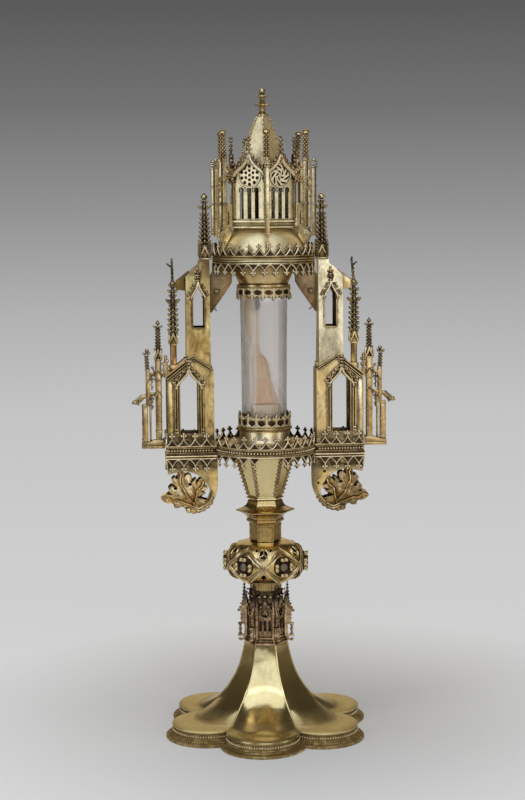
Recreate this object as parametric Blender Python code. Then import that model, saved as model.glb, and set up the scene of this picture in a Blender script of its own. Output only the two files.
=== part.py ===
"""Reliquary monstrance: a lobed foot, a stem with a chapel and a knop, and a glass cylinder
between two pinnacled towers under a domed and spired lid.

+Z up. The origin is the centre of the foot's underside. The two towers stand on the X axis, and
the front faces -Y. The foot, chapel and knop sit turned a few degrees on the stem. Sizes are in
millimetres, and finish() turns each shape into metres.
"""

from math import cos, pi, radians, sin, sqrt

import bmesh
import bpy
from mathutils import Matrix, Vector

METRES = 0.001
GAP = 0.3  # clearance between pieces that touch
MERGE = 0.001

# The whole object.
TOP = 520.0
FOOT_TURN = radians(-7.7)  # the foot, chapel and knop, about +Z
STEM_TURN = radians(-3.5)
SIDES = 6  # of the foot, stem, collar, bowl, lantern and spire
SIXTH = 2 * pi / SIDES

# Foot: six round lobes on a hexagonal trumpet.
LOBE_CENTRE = 52.8
PLATE_LOBE = 29.5
FLANGE_LOBE = 34.5
FOOT_TOP = 66.0
FOOT_NECK = 18.8
SHEET = 1.4
LOBE_POINTS = 36

# Chapel, stem and knop. Radii of hexagons are to their corners.
CHAPEL_WALL = 15.2
CHAPEL_EAVES = 101.0
CHAPEL_TOP = 114.6
WINDOW_FRAME = 1.7
WINDOW_DEPTH = 0.9
STEM_RADIUS = 12.7
KNOP_BOTTOM = 122.6
KNOP_MIDDLE = 139.3
KNOP_TOP = 156.4
KNOP_STEPS = 24
ROSETTE_RADIUS = 9.0
ROSETTE_REACH = 34.8
ROSETTE_DEPTH = 8.0
COLLAR_BOTTOM = 171.5
COLLAR_TOP = 190.4

# Galleries: the lower ring carries the glass, the upper ring caps it, and the lid rests on that.
GALLERY_RADIUS = 42.0
GALLERY_BOTTOM = 229.2
GALLERY_TOP = 237.0
BOWL_TOP = GALLERY_TOP - 2.2
BOWL_RADIUS = 23.6
RING_RADIUS = 41.2
RING_BOTTOM = 381.8
RING_TOP = 385.3
LID_BOTTOM = 385.8
LID_TOP = 389.2
FLOOR_THICK = 1.6
TEETH = 28  # arches round each crest
CREST_HEIGHT = 9.4
FRINGE_DROP = 8.6
CREST_THICK = 1.0
CREST_LOW = 0.24  # share of a crest's height left between two arches
TOWER_ARC = radians(19)  # half of the arc that a tower leaves without a crest
LOST_FRINGE = (radians(-104.5), radians(-76.0))  # where the lower fringe has broken away
LOST_CREST = (radians(-80.0), radians(-69.0))  # where one tooth of the lid's crest is gone

# Glass cylinder, a little wider at the top, and its two mounts.
GLASS_TOP_RADIUS = 19.2
GLASS_BOTTOM_RADIUS = 18.2
GLASS_WALL = 1.6
GLASS_BOTTOM = 249.3
GLASS_TOP = 364.4
UPPER_MOUNT_TOP = 383.4

# Lid.
DOME_TOP = 409.4
LANTERN_BOTTOM = DOME_TOP + GAP
LANTERN_RADIUS = 27.9
LANTERN_EAVES = 449.5
GABLE_HEIGHT = 13.9
LANTERN_WALL = 1.6
LANCET_ACROSS = 7.4
LANCET_WIDTH = 3.2
SPIRE_SEAT = 22.0  # inner corner radius of the ledge that carries the spire
SPIRE_BOTTOM = LANTERN_EAVES + GAP
SPIRE_TOP = 498.0
FLYER_THICK = 3.4
FLYER_TURN = radians(30)

# Towers, on the +X side and mirrored on the other.
TOWER_INNER = 41.2
TOWER_OUTER = 78.6
TOWER_HALF_DEPTH = 12.5
TOWER_FLOOR = 237.3
TOWER_SHOULDER = 306.2
TOWER_WALL = 1.8
UPPER_INNER = 43.4
UPPER_OUTER = 62.8
UPPER_TOP = 384.4
CORNICE_BOTTOM = 225.8
CORNICE_TOP = 236.8
CORNICE_SPREAD = 2.1
BRACKET_HALF_DEPTH = 9.5
PILLAR_HALF_DEPTH = 2.4
TALL_PINNACLE_X = 73.0
TOP_PINNACLE_X = 46.9


def clear_scene():
    for obj in list(bpy.data.objects):
        bpy.data.objects.remove(obj, do_unlink=True)


def surface(name, colour, roughness, metallic=1.0):
    made = bpy.data.materials.new(name)
    made.use_nodes = True
    shader = made.node_tree.nodes["Principled BSDF"]
    shader.inputs["Base Color"].default_value = (*colour, 1.0)
    shader.inputs["Metallic"].default_value = metallic
    shader.inputs["Roughness"].default_value = roughness
    return made


def make_finishes():
    made = {
        "gilt": surface("gilt", (0.62, 0.52, 0.30), 0.34),
        "pale_gilt": surface("pale_gilt", (0.74, 0.66, 0.44), 0.30),
        "dark_gilt": surface("dark_gilt", (0.34, 0.26, 0.15), 0.48),
        "copper": surface("copper", (0.42, 0.27, 0.15), 0.42),
        "glass": surface("glass", (0.86, 0.87, 0.85), 0.06, metallic=0.0),
    }
    glass = made["glass"].node_tree.nodes["Principled BSDF"]
    glass.inputs["Transmission Weight"].default_value = 1.0
    glass.inputs["IOR"].default_value = 1.5
    return made


def finish(name, shape, material, smooth_angle=None):
    """Turns a bmesh in millimetres into a named object with one material."""
    bmesh.ops.scale(shape, verts=shape.verts, vec=(METRES, METRES, METRES))
    bmesh.ops.recalc_face_normals(shape, faces=shape.faces)
    mesh = bpy.data.meshes.new(name)
    shape.to_mesh(mesh)
    shape.free()
    mesh.materials.append(material)
    if smooth_angle is not None:
        mesh.shade_smooth()
        mesh.set_sharp_from_angle(angle=radians(smooth_angle))
    obj = bpy.data.objects.new(name, mesh)
    bpy.context.scene.collection.objects.link(obj)
    return obj


def make_cutter(name, shape, material):
    """A helper that other pieces are cut with. It isn't part of the object."""
    cutter = finish(name, shape, material)
    cutter.hide_render = True
    cutter.display_type = "WIRE"
    return cutter


def cut(piece, cutter):
    boolean = piece.modifiers.new(cutter.name, "BOOLEAN")
    boolean.operation = "DIFFERENCE"
    boolean.solver = "EXACT"
    boolean.object = cutter


def turn_mesh(obj, angle):
    obj.data.transform(Matrix.Rotation(angle, 4, "Z"))


# Ways of making a closed body ------------------------------------------------------------------


def loft(rings):
    """A body through rings of equal count: quads from each to the next, and a cap at both ends."""
    shape = bmesh.new()
    loops = [[shape.verts.new(point) for point in points] for points in rings]
    for lower, upper in zip(loops, loops[1:]):
        for i in range(len(lower)):
            shape.faces.new((lower[i - 1], lower[i], upper[i], upper[i - 1]))
    shape.faces.new(loops[0])
    shape.faces.new(loops[-1])
    return shape


def loft_ring(rings):
    """A ring-shaped body: as loft(), but the last ring joins the first, with no caps."""
    shape = bmesh.new()
    loops = [[shape.verts.new(point) for point in points] for points in rings]
    for lower, upper in zip(loops, loops[1:] + loops[:1]):
        for i in range(len(lower)):
            shape.faces.new((lower[i - 1], lower[i], upper[i], upper[i - 1]))
    return shape


def hexagon(radius, z, turn=0.0):
    return [(radius * cos(turn + SIXTH * i), radius * sin(turn + SIXTH * i), z) for i in range(SIDES)]


def hexagonal(profile, turn=0.0):
    """A body of stacked hexagons, from (corner radius, z)."""
    return loft([hexagon(radius, z, turn) for radius, z in profile])


def turned(profile, steps, ring=False):
    """A body spun about Z from a (radius, z) profile. A ring's profile closes on itself."""
    shape = bmesh.new()
    verts = [shape.verts.new((radius, 0, z)) for radius, z in profile]
    edges = [shape.edges.new(pair) for pair in zip(verts, verts[1:])]
    if ring:
        edges.append(shape.edges.new((verts[-1], verts[0])))
    bmesh.ops.spin(
        shape, geom=verts + edges, cent=(0, 0, 0), axis=(0, 0, 1), angle=2 * pi, steps=steps, use_merge=True
    )
    bmesh.ops.remove_doubles(shape, verts=shape.verts, dist=MERGE)
    return shape


def plate(outline, half_depth):
    """A plate from an (x, z) outline, standing in the XZ plane."""
    shape = bmesh.new()
    verts = [shape.verts.new((x, -half_depth, z)) for x, z in outline]
    front = shape.faces.new(verts)
    back = bmesh.ops.extrude_face_region(shape, geom=[front])
    moved = [item for item in back["geom"] if isinstance(item, bmesh.types.BMVert)]
    bmesh.ops.translate(shape, verts=moved, vec=(0, 2 * half_depth, 0))
    return shape


def box(low, high):
    shape = bmesh.new()
    low = Vector(low)
    high = Vector(high)
    bmesh.ops.create_cube(shape, size=1.0)
    bmesh.ops.scale(shape, verts=shape.verts, vec=high - low)
    bmesh.ops.translate(shape, verts=shape.verts, vec=(low + high) / 2)
    return shape


def merged(shapes):
    """One bmesh that holds several separate ones."""
    whole = bmesh.new()
    for shape in shapes:
        mesh = bpy.data.meshes.new("part")
        bmesh.ops.recalc_face_normals(shape, faces=shape.faces)
        shape.to_mesh(mesh)
        shape.free()
        whole.from_mesh(mesh)
        bpy.data.meshes.remove(mesh)
    return whole


def turned_copies(outline, half_depth, turn):
    """Six plates round the axis, from one outline."""
    shapes = []
    for i in range(SIDES):
        shape = plate(outline, half_depth)
        bmesh.ops.rotate(
            shape, cent=(0, 0, 0), matrix=Matrix.Rotation(turn + i * SIXTH, 3, "Z"), verts=shape.verts
        )
        shapes.append(shape)
    return shapes


# Foot ------------------------------------------------------------------------------------------


def from_lobe(angle):
    """Angle from the nearest lobe's middle. The lobes point to 30, 90, 150... degrees."""
    return angle % SIXTH - SIXTH / 2


def lobed_radius(angle, lobe):
    """Outline of six overlapping round lobes."""
    off = from_lobe(angle)
    return LOBE_CENTRE * cos(off) + sqrt(lobe**2 - (LOBE_CENTRE * sin(off)) ** 2)


def hexagon_radius(angle, radius):
    """Outline of a hexagon whose sides face the lobes."""
    return radius * cos(SIXTH / 2) / cos(from_lobe(angle))


def foot_ring(ridge, lobe, share, z):
    """A section between a hexagon (share 0) and the lobed outline (share 1); ridge is its corner radius."""
    valley = lobed_radius(0.0, lobe)
    corner = ridge if share >= 1 else (ridge - valley * share) / (1 - share)
    points = []
    for i in range(LOBE_POINTS):
        angle = 2 * pi * i / LOBE_POINTS
        radius = lobed_radius(angle, lobe) * share + (1 - share) * hexagon_radius(angle, corner)
        points.append((radius * cos(angle), radius * sin(angle), z))
    return points


def make_foot(material):
    """Trumpet as (ridge radius, lobed share, z), then the moulded rim as (lobe radius, z), then the inside."""
    trumpet = [(FOOT_NECK, 0, FOOT_TOP), (21.2, 0, 55.5), (24.2, 0, 47.2), (28.2, 0, 39.6), (34.3, 0.06, 30.8)]
    trumpet += [(42.0, 0.24, 22.2), (49.5, 0.51, 15.6), (52.6, 0.74, 13.2)]
    rim = [(PLATE_LOBE - SHEET, 11.9), (PLATE_LOBE, 11.0), (PLATE_LOBE, 9.7), (28.9, 9.0), (28.9, 5.6)]
    rim += [(30.6, 4.4), (31.4, 2.4), (FLANGE_LOBE, 2.0), (FLANGE_LOBE, 0.0), (27.2, 0.0), (27.2, 9.6)]
    rings = [foot_ring(ridge, PLATE_LOBE - SHEET, share, z) for ridge, share, z in trumpet]
    rings += [foot_ring(0, lobe, 1, z) for lobe, z in rim]
    inner_lobe = PLATE_LOBE - 2 * SHEET
    for ridge, share, z in reversed(trumpet[:-1]):
        rings.append(foot_ring(ridge - SHEET, inner_lobe, share * 0.85, z - SHEET * 0.7))
    return finish("foot", loft(rings), material, 25)


# Chapel, stem, knop, collar and bowl --------------------------------------------------------------


def make_chapel(material):
    """A hexagonal sleeve with a window panel sunk into each side."""
    base = FOOT_TOP + GAP
    profile = [(18.0, base), (19.4, 67.4), (19.4, 69.8), (17.4, 71.2), (17.8, 72.4), (17.8, 74.2), (16.2, 75.6)]
    profile += [(CHAPEL_WALL, 76.2), (CHAPEL_WALL, CHAPEL_EAVES), (14.2, 102.0), (13.7, CHAPEL_TOP)]
    shape = hexagonal(profile)
    bmesh.ops.recalc_face_normals(shape, faces=shape.faces)
    middle = (76.2 + CHAPEL_EAVES) / 2
    walls = [face for face in shape.faces if abs(face.calc_center_median().z - middle) < 1]
    bmesh.ops.inset_individual(shape, faces=walls, thickness=WINDOW_FRAME, use_even_offset=True)
    bmesh.ops.inset_individual(
        shape, faces=walls, thickness=WINDOW_DEPTH, depth=-WINDOW_DEPTH, use_even_offset=True
    )
    return finish("chapel", shape, material)


def make_chapel_buttresses(material):
    """A scrolled foot, a free-standing baluster, a canopied pier and a pinnacle, at each corner."""
    inner = CHAPEL_WALL + 0.5
    outline = [(inner, 76.6), (18.0, 76.3), (18.8, 73.6), (20.8, 72.5), (22.4, 73.7), (21.7, 75.8), (22.9, 76.6)]
    outline += [(22.9, 78.0), (22.2, 78.4), (22.2, 85.8), (22.9, 86.2), (22.9, 87.4), (21.0, 88.2), (21.0, 96.6)]
    outline += [(23.6, 97.0), (20.6, 100.4), (19.4, 103.0), (18.0, 113.0), (17.0, 122.0), (16.2, 122.0)]
    outline += [(inner, 104.0), (inner, 86.6), (19.2, 86.6), (19.2, 78.2), (inner, 78.2)]
    shapes = turned_copies(outline, 1.7, 0.0)
    return [finish(f"chapel_buttress_{i + 1}", shape, material) for i, shape in enumerate(shapes)]


def make_stem(material):
    lower = [(STEM_RADIUS, CHAPEL_TOP + GAP), (STEM_RADIUS, KNOP_BOTTOM - GAP)]
    upper = [(12.6, KNOP_TOP + GAP), (12.6, 168.4), (13.2, 169.0), (13.2, COLLAR_BOTTOM - GAP)]
    finish("stem_lower", hexagonal(lower, FOOT_TURN), material)
    finish("stem_upper", hexagonal(upper, STEM_TURN), material)


def knop_body(spare=0.0):
    """The flattened sphere between the two stems, or one a little larger."""
    profile = [(12.9, KNOP_TOP), (20.0, 155.6), (25.6, 152.6), (29.4, 147.4), (31.6, 141.2), (31.2, 135.6)]
    profile += [(28.0, 129.6), (22.4, 125.0), (16.6, 122.9), (13.0, KNOP_BOTTOM)]
    grown = [(radius + spare, z) for radius, z in profile]
    return turned([(0, KNOP_TOP + spare), *grown, (0, KNOP_BOTTOM - spare)], KNOP_STEPS)


def make_rosettes(material):
    """Six round bosses at the knop's corners, each cut to sit on its curve."""
    seat = make_cutter("rosette_seat", knop_body(GAP), material)
    made = []
    for i in range(SIDES):
        shape = bmesh.new()
        bmesh.ops.create_cone(
            shape, cap_ends=True, segments=12, radius1=ROSETTE_RADIUS, radius2=ROSETTE_RADIUS * 0.72,
            depth=ROSETTE_DEPTH,
        )
        out = Matrix.Translation((ROSETTE_REACH - ROSETTE_DEPTH / 2, 0, KNOP_MIDDLE))
        place = Matrix.Rotation(i * SIXTH, 4, "Z") @ out @ Matrix.Rotation(pi / 2, 4, "Y")
        bmesh.ops.transform(shape, matrix=place, verts=shape.verts)
        made.append(finish(f"knop_rosette_{i + 1}", shape, material))
        cut(made[-1], seat)
    return [*made, seat]


def make_collar(material):
    profile = [(13.7, COLLAR_BOTTOM), (14.9, 172.2), (14.9, 174.2), (14.0, 175.5), (18.6, 179.0), (23.9, 181.3)]
    profile += [(23.9, 182.2), (18.4, 184.2), (15.2, 187.0), (13.7, COLLAR_TOP)]
    finish("collar", hexagonal(profile), material)


def make_bowl(material):
    profile = [(13.6, COLLAR_TOP + GAP), (14.8, 191.4), (14.8, 192.6), (13.4, 193.4), (22.6, 224.0)]
    finish("bowl", hexagonal([*profile, (BOWL_RADIUS, BOWL_TOP)]), material)


# Galleries -----------------------------------------------------------------------------------------


def between(angle, span):
    return (angle - span[0]) % (2 * pi) < span[1] - span[0]


def tooth_height(i, height, lost):
    """Height of a crest at its i-th point: full on every second one, none by a tower or a loss."""
    angle = pi * i / TEETH
    near_tower = min(angle % pi, pi - angle % pi) < TOWER_ARC
    if near_tower or (lost and between(angle, lost)):
        return GAP
    return height if i % 2 else height * CREST_LOW


def toothed_ring(radius, z, height=0.0, lost=None):
    """A ring of points at z, raised by height at each tooth, or lowered where height is negative."""
    points = []
    for i in range(2 * TEETH):
        angle = pi * i / TEETH
        rise = 0.0
        if height > 0:
            rise = tooth_height(i, height, lost)
        elif height < 0:
            rise = -tooth_height(i, -height, lost)
        points.append((radius * cos(angle), radius * sin(angle), z + rise))
    return points


def make_gallery(material):
    """Floor and hollow-moulded band, with a crest above and a hanging fringe below, part of it lost."""
    outer = GALLERY_RADIUS
    inner = GALLERY_RADIUS - CREST_THICK
    hole = BOWL_RADIUS + 0.8
    rings = [toothed_ring(hole, GALLERY_TOP), toothed_ring(inner, GALLERY_TOP)]
    rings += [toothed_ring(inner, GALLERY_TOP, CREST_HEIGHT), toothed_ring(outer, GALLERY_TOP, CREST_HEIGHT)]
    rings += [toothed_ring(outer, GALLERY_TOP - 1.8)]
    rings += [toothed_ring(outer - 0.9, (GALLERY_TOP + GALLERY_BOTTOM) / 2)]
    rings += [toothed_ring(outer, GALLERY_BOTTOM + 1.8)]
    rings += [toothed_ring(outer, GALLERY_BOTTOM, -CREST_HEIGHT, LOST_FRINGE)]
    rings += [toothed_ring(inner, GALLERY_BOTTOM, -CREST_HEIGHT, LOST_FRINGE)]
    rings += [toothed_ring(inner, GALLERY_TOP - FLOOR_THICK), toothed_ring(hole, GALLERY_TOP - FLOOR_THICK)]
    finish("gallery", loft_ring(rings), material)


def make_upper_ring(material):
    inner = RING_RADIUS - CREST_THICK
    hole = 25.4
    rings = [toothed_ring(hole, RING_TOP), toothed_ring(RING_RADIUS, RING_TOP)]
    rings += [toothed_ring(RING_RADIUS, RING_BOTTOM, -FRINGE_DROP)]
    rings += [toothed_ring(inner, RING_BOTTOM, -FRINGE_DROP)]
    rings += [toothed_ring(inner, RING_TOP - FLOOR_THICK), toothed_ring(hole, RING_TOP - FLOOR_THICK)]
    finish("upper_ring", loft_ring(rings), material)


def make_lid_rim(material):
    """The lid's flat base with its band, which rests on the upper ring, and its crest."""
    inner = RING_RADIUS - CREST_THICK
    rings = [toothed_ring(inner, LID_TOP - FLOOR_THICK)]
    rings += [toothed_ring(inner, LID_TOP, CREST_HEIGHT, LOST_CREST)]
    rings += [toothed_ring(RING_RADIUS, LID_TOP, CREST_HEIGHT, LOST_CREST)]
    rings += [toothed_ring(RING_RADIUS, LID_BOTTOM)]
    finish("lid_rim", loft(rings), material)


# Glass and its mounts -------------------------------------------------------------------------------


def make_glass(material):
    profile = [(GLASS_TOP_RADIUS, GLASS_TOP), (GLASS_BOTTOM_RADIUS, GLASS_BOTTOM)]
    profile += [(GLASS_BOTTOM_RADIUS - GLASS_WALL, GLASS_BOTTOM), (GLASS_TOP_RADIUS - GLASS_WALL, GLASS_TOP)]
    finish("glass_cylinder", turned(profile, 32, ring=True), material, 40)


def make_lower_mount(material):
    """A drum on the gallery's floor, with a ring and a crest that hold the glass."""
    sill = GLASS_BOTTOM - GAP
    crest_inner = GLASS_BOTTOM_RADIUS + 1.3
    profile = [(0, sill), (crest_inner, sill), (crest_inner, 258.5), (20.6, 258.5), (20.6, 250.8)]
    profile += [(22.0, 250.2), (22.0, 248.2), (20.3, 246.8), (20.3, 240.2), (22.4, 238.4)]
    profile += [(22.4, TOWER_FLOOR), (0, TOWER_FLOOR)]
    finish("lower_mount", turned(profile, 24), material, 40)


def make_upper_mount(material):
    """A cone under the upper ring, with a ring and a hanging crest round the glass."""
    ceiling = GLASS_TOP + 0.4
    crest_inner = GLASS_TOP_RADIUS + 0.7
    profile = [(0, UPPER_MOUNT_TOP), (25.0, UPPER_MOUNT_TOP), (23.6, 375.0), (19.7, 365.6), (21.4, ceiling)]
    profile += [(21.4, 362.4), (20.9, 361.8), (20.9, 354.6), (crest_inner, 354.6)]
    profile += [(crest_inner, ceiling), (0, ceiling)]
    finish("upper_mount", turned(profile, 24), material, 40)


# Lid ------------------------------------------------------------------------------------------------


def make_dome(material):
    """The low dome on the lid's flat base."""
    floor = LID_TOP - FLOOR_THICK + 0.4
    profile = [(0, DOME_TOP), (23.4, DOME_TOP), (26.2, 407.2), (30.6, 402.8), (34.9, 396.8), (37.4, 392.4)]
    finish("dome", turned([*profile, (38.8, floor), (0, floor)], 32), material, 40)


def lantern_ring(radius, z, gable=0.0):
    """A hexagon with corners at 30, 90, 150... degrees and a point in the middle of each side."""
    points = []
    for i in range(2 * SIDES):
        angle = i * SIXTH / 2
        reach = radius if i % 2 else radius * cos(SIXTH / 2)
        points.append((reach * cos(angle), reach * sin(angle), z if i % 2 else z + gable))
    return points


def pointed_opening(centre, width, low, spring, tip, rounded=True):
    """Outline of a pointed opening, in (across, z). A rounded one has a point on each side of its arch."""
    half = width / 2
    shoulder = spring + (tip - spring) * 0.62
    arch = [(half, spring), (half * 0.6, shoulder), (0, tip), (-half * 0.6, shoulder), (-half, spring)]
    if not rounded:
        arch = arch[::2]
    return [(centre + x, z) for x, z in [(-half, low), (half, low), *arch]]


def make_lantern(material):
    """Six gabled walls with three lancets each, on a moulded base, with a ledge inside for the spire."""
    inner = LANTERN_RADIUS - LANTERN_WALL
    moulding = [(29.2, LANTERN_BOTTOM), (29.2, 411.4), (27.7, 412.6), (29.2, 415.0), (29.2, 416.4)]
    rings = [lantern_ring(radius, z) for radius, z in [*moulding, (LANTERN_RADIUS, 417.2)]]
    rings += [lantern_ring(LANTERN_RADIUS, LANTERN_EAVES, GABLE_HEIGHT)]
    rings += [lantern_ring(inner, LANTERN_EAVES, GABLE_HEIGHT), lantern_ring(inner, LANTERN_EAVES)]
    rings += [lantern_ring(SPIRE_SEAT, LANTERN_EAVES), lantern_ring(SPIRE_SEAT, LANTERN_EAVES - LANTERN_WALL)]
    rings += [lantern_ring(inner, LANTERN_EAVES - LANTERN_WALL)]
    rings += [lantern_ring(inner, LANTERN_BOTTOM + LANTERN_WALL)]
    lantern = finish("lantern", loft(rings), material)
    lancets = []
    for side in range(SIDES):
        for across in (-LANCET_ACROSS, 0.0, LANCET_ACROSS):
            shape = plate(pointed_opening(across, LANCET_WIDTH, 418.6, 437.0, 440.4, rounded=False), 3)
            bmesh.ops.translate(shape, verts=shape.verts, vec=(0, -LANTERN_RADIUS * cos(SIXTH / 2), 0))
            turn = Matrix.Rotation(FLYER_TURN + side * SIXTH, 3, "Z")
            bmesh.ops.rotate(shape, cent=(0, 0, 0), matrix=turn, verts=shape.verts)
            lancets.append(shape)
    cut(lantern, make_cutter("lantern_lancets", merged(lancets), material))


def make_flyers(material):
    """Six flying buttresses: a pierced plate over the dome, a pinnacled pier and an outer shaft."""
    pier = (35.8, 38.8)
    shaft = (43.0, 46.0)
    outline = [(38.6, 391.0), (39.6, 391.0), (39.6, 400.0), (42.0, 403.6), (shaft[1], 404.4), (shaft[1], 459.0)]
    outline += [(46.9, 460.0), (46.4, 462.4), (42.6, 462.4), (42.1, 460.0), (shaft[0], 459.0), (shaft[0], 440.0)]
    outline += [(pier[1], 436.6), (pier[1], 464.0), (39.4, 466.0), (38.0, 486.0), (36.4, 486.0), (35.2, 466.0)]
    outline += [(pier[0], 464.0), (pier[0], 452.0), (30.6, 453.4), (28.4, 451.6), (28.4, 448.0), (32.6, 447.6)]
    outline += [(pier[0], 443.0), (pier[0], 427.6), (29.7, 427.6), (29.7, 410.2), (30.8, 403.8), (35.4, 397.4)]
    windows = turned_copies([(39.4, 410.4), (42.4, 410.4), (42.4, 433.4), (39.4, 433.4)], 3, FLYER_TURN)
    windows += turned_copies([(32.2, 412.6), (34.0, 412.6), (34.0, 421.6), (32.2, 421.6)], 3, FLYER_TURN)
    cutter = make_cutter("flyer_windows", merged(windows), material)
    for i, shape in enumerate(turned_copies(outline, FLYER_THICK / 2, FLYER_TURN)):
        cut(finish(f"flying_buttress_{i + 1}", shape, material), cutter)


def make_spire(material):
    finish("spire", hexagonal([(25.8, SPIRE_BOTTOM), (5.4, SPIRE_TOP)], FLYER_TURN), material)


def make_finial(material):
    floor = SPIRE_TOP + GAP
    profile = [(0, TOP), (1.8, 519.4), (2.8, 517.4), (2.0, 515.2), (4.0, 514.2), (4.0, 512.8), (1.9, 511.6)]
    profile += [(2.2, 508.8), (5.5, 507.8), (5.5, 506.4), (2.4, 505.0), (2.2, 501.6), (5.4, 499.4), (5.4, floor)]
    finish("finial", turned([*profile, (0, floor)], 12), material, 40)


# Towers ----------------------------------------------------------------------------------------------


def make_lower_stage(name, material):
    """A hollow storey with a tall window front and back, under a sloping shoulder."""
    outline = [(TOWER_INNER, TOWER_FLOOR), (TOWER_OUTER, TOWER_FLOOR), (TOWER_OUTER, 291.2), (79.8, 291.8)]
    outline += [(79.8, 293.6), (63.2, TOWER_SHOULDER), (TOWER_INNER + 0.4, TOWER_SHOULDER)]
    stage = finish(name, plate(outline, TOWER_HALF_DEPTH), material)
    depth = TOWER_HALF_DEPTH - TOWER_WALL
    low = (TOWER_INNER + TOWER_WALL, -depth, TOWER_FLOOR + TOWER_WALL)
    cut(stage, make_cutter(f"{name}_hollow", box(low, (TOWER_OUTER - TOWER_WALL, depth, 292.0)), material))
    window = plate(pointed_opening(61.2, 14.3, 246.4, 285.4, 295.6), TOWER_HALF_DEPTH + 2)
    cut(stage, make_cutter(f"{name}_window", window, material))


def make_upper_stage(name, material):
    """A narrower storey with a window, an arm on its outer side, and a roof that narrows to the pinnacle."""
    outline = [(UPPER_INNER, TOWER_SHOULDER + GAP), (UPPER_OUTER, TOWER_SHOULDER + GAP), (UPPER_OUTER, 362.0)]
    outline += [(69.4, 362.6), (69.4, 370.8), (63.3, 372.4), (57.2, 377.8), (52.3, 381.2), (52.3, UPPER_TOP)]
    shape = plate([*outline, (UPPER_INNER + 0.2, UPPER_TOP)], TOWER_HALF_DEPTH)
    for place, normal in (((UPPER_OUTER, 0, 0), (1, 0, 0)), ((0, 0, 364), (0, 0, 1))):
        everything = shape.verts[:] + shape.edges[:] + shape.faces[:]
        bmesh.ops.bisect_plane(shape, geom=everything, dist=MERGE, plane_co=place, plane_no=normal)
    for vert in shape.verts:
        if vert.co.x > 69:
            vert.co.y *= 0.32
        elif vert.co.z > 381:
            vert.co.y *= 0.44
        elif vert.co.z > 371:
            vert.co.y *= 0.72
    bmesh.ops.triangulate(shape, faces=shape.faces)
    stage = finish(name, shape, material)
    depth = TOWER_HALF_DEPTH - TOWER_WALL
    low = (UPPER_INNER + TOWER_WALL, -depth, TOWER_SHOULDER + TOWER_WALL + GAP)
    cut(stage, make_cutter(f"{name}_hollow", box(low, (UPPER_OUTER - TOWER_WALL, depth, 366.0)), material))
    window = plate(pointed_opening(52.8, 8.5, 331.6, 355.6, 363.4), TOWER_HALF_DEPTH + 2)
    cut(stage, make_cutter(f"{name}_window", window, material))


def cornice_ring(spread, z, tooth=0.0):
    """A rectangle round the tower, spread outwards, with a raised or lowered point in every second place."""
    centre = (TOWER_INNER + TOWER_OUTER) / 2
    half_x = (TOWER_OUTER - TOWER_INNER) / 2 - 0.4 + spread
    half_y = TOWER_HALF_DEPTH + spread
    long_side = 8
    short_side = 6
    corners = [(-1, -1), (1, -1), (1, 1), (-1, 1)]
    points = []
    for i, (here, there) in enumerate(zip(corners, corners[1:] + corners[:1])):
        steps = short_side if i % 2 else long_side
        for k in range(steps):
            x = centre + half_x * (here[0] + (there[0] - here[0]) * k / steps)
            y = half_y * (here[1] + (there[1] - here[1]) * k / steps)
            points.append((x, y, z + tooth * (1.0 if k % 2 else CREST_LOW)))
    return points


def make_cornice(name, material):
    """The moulded band under a tower, with its crest and its hanging fringe, notched round the gallery."""
    outer = CORNICE_SPREAD
    inner = CORNICE_SPREAD - CREST_THICK
    rings = [cornice_ring(inner, CORNICE_BOTTOM + 0.2), cornice_ring(inner, CORNICE_BOTTOM, -9.0)]
    rings += [cornice_ring(outer, CORNICE_BOTTOM, -9.0), cornice_ring(outer, 228.8)]
    rings += [cornice_ring(1.3, 231.6), cornice_ring(outer, 234.4), cornice_ring(outer, CORNICE_TOP, 10.4)]
    rings += [cornice_ring(inner, CORNICE_TOP, 10.4), cornice_ring(inner, CORNICE_TOP + 0.2)]
    cornice = finish(name, loft(rings), material)
    reach = GALLERY_RADIUS + 0.4
    seat = turned([(0, 260), (reach, 260), (reach, 200), (0, 200)], 2 * TEETH)
    cut(cornice, make_cutter(f"{name}_seat", seat, material))


def make_bracket(name, material):
    """The curved plate under a tower, with a round bite that the leaf fills."""
    centre = (66.5, 196.0)
    bite = 19.4
    inner = 38.9
    top = CORNICE_BOTTOM - GAP
    outline = [(inner, top), (inner, 206.0), (40.2, 197.0), (42.2, 192.0), (44.6, 189.2), (47.4, 192.6)]
    for degrees in range(170, 85, -12):
        outline.append((centre[0] + bite * cos(radians(degrees)), centre[1] + bite * sin(radians(degrees))))
    outline += [(72.0, 214.6), (79.0, 213.0), (79.0, top)]
    finish(name, plate(outline, BRACKET_HALF_DEPTH), material)


def make_leaf(name, material):
    """The curling leaf below the bracket: its lobed silhouette, crowned front and back."""
    centre = (64.0, 197.0)
    outline = [(47.0, 189.4), (52.0, 185.0), (59.0, 182.0), (66.0, 183.4), (70.6, 186.8), (75.6, 185.8)]
    outline += [(77.4, 189.0), (83.0, 190.4), (86.4, 193.0), (83.4, 196.8), (78.6, 197.8), (80.2, 201.0)]
    outline += [(77.0, 204.2), (78.0, 208.6), (73.2, 211.4), (69.4, 213.2), (64.4, 212.4), (59.6, 209.0)]
    outline += [(55.6, 207.4), (50.6, 205.4), (49.4, 199.0), (51.4, 194.6)]
    rings = []
    for share, y in ((0.6, -9.0), (1.0, -3.5), (1.0, 3.5), (0.6, 9.0)):
        ring = []
        for x, z in outline:
            ring.append((centre[0] + (x - centre[0]) * share, y, centre[1] + (z - centre[1]) * share))
        rings.append(ring)
    finish(name, loft(rings), material)


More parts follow.
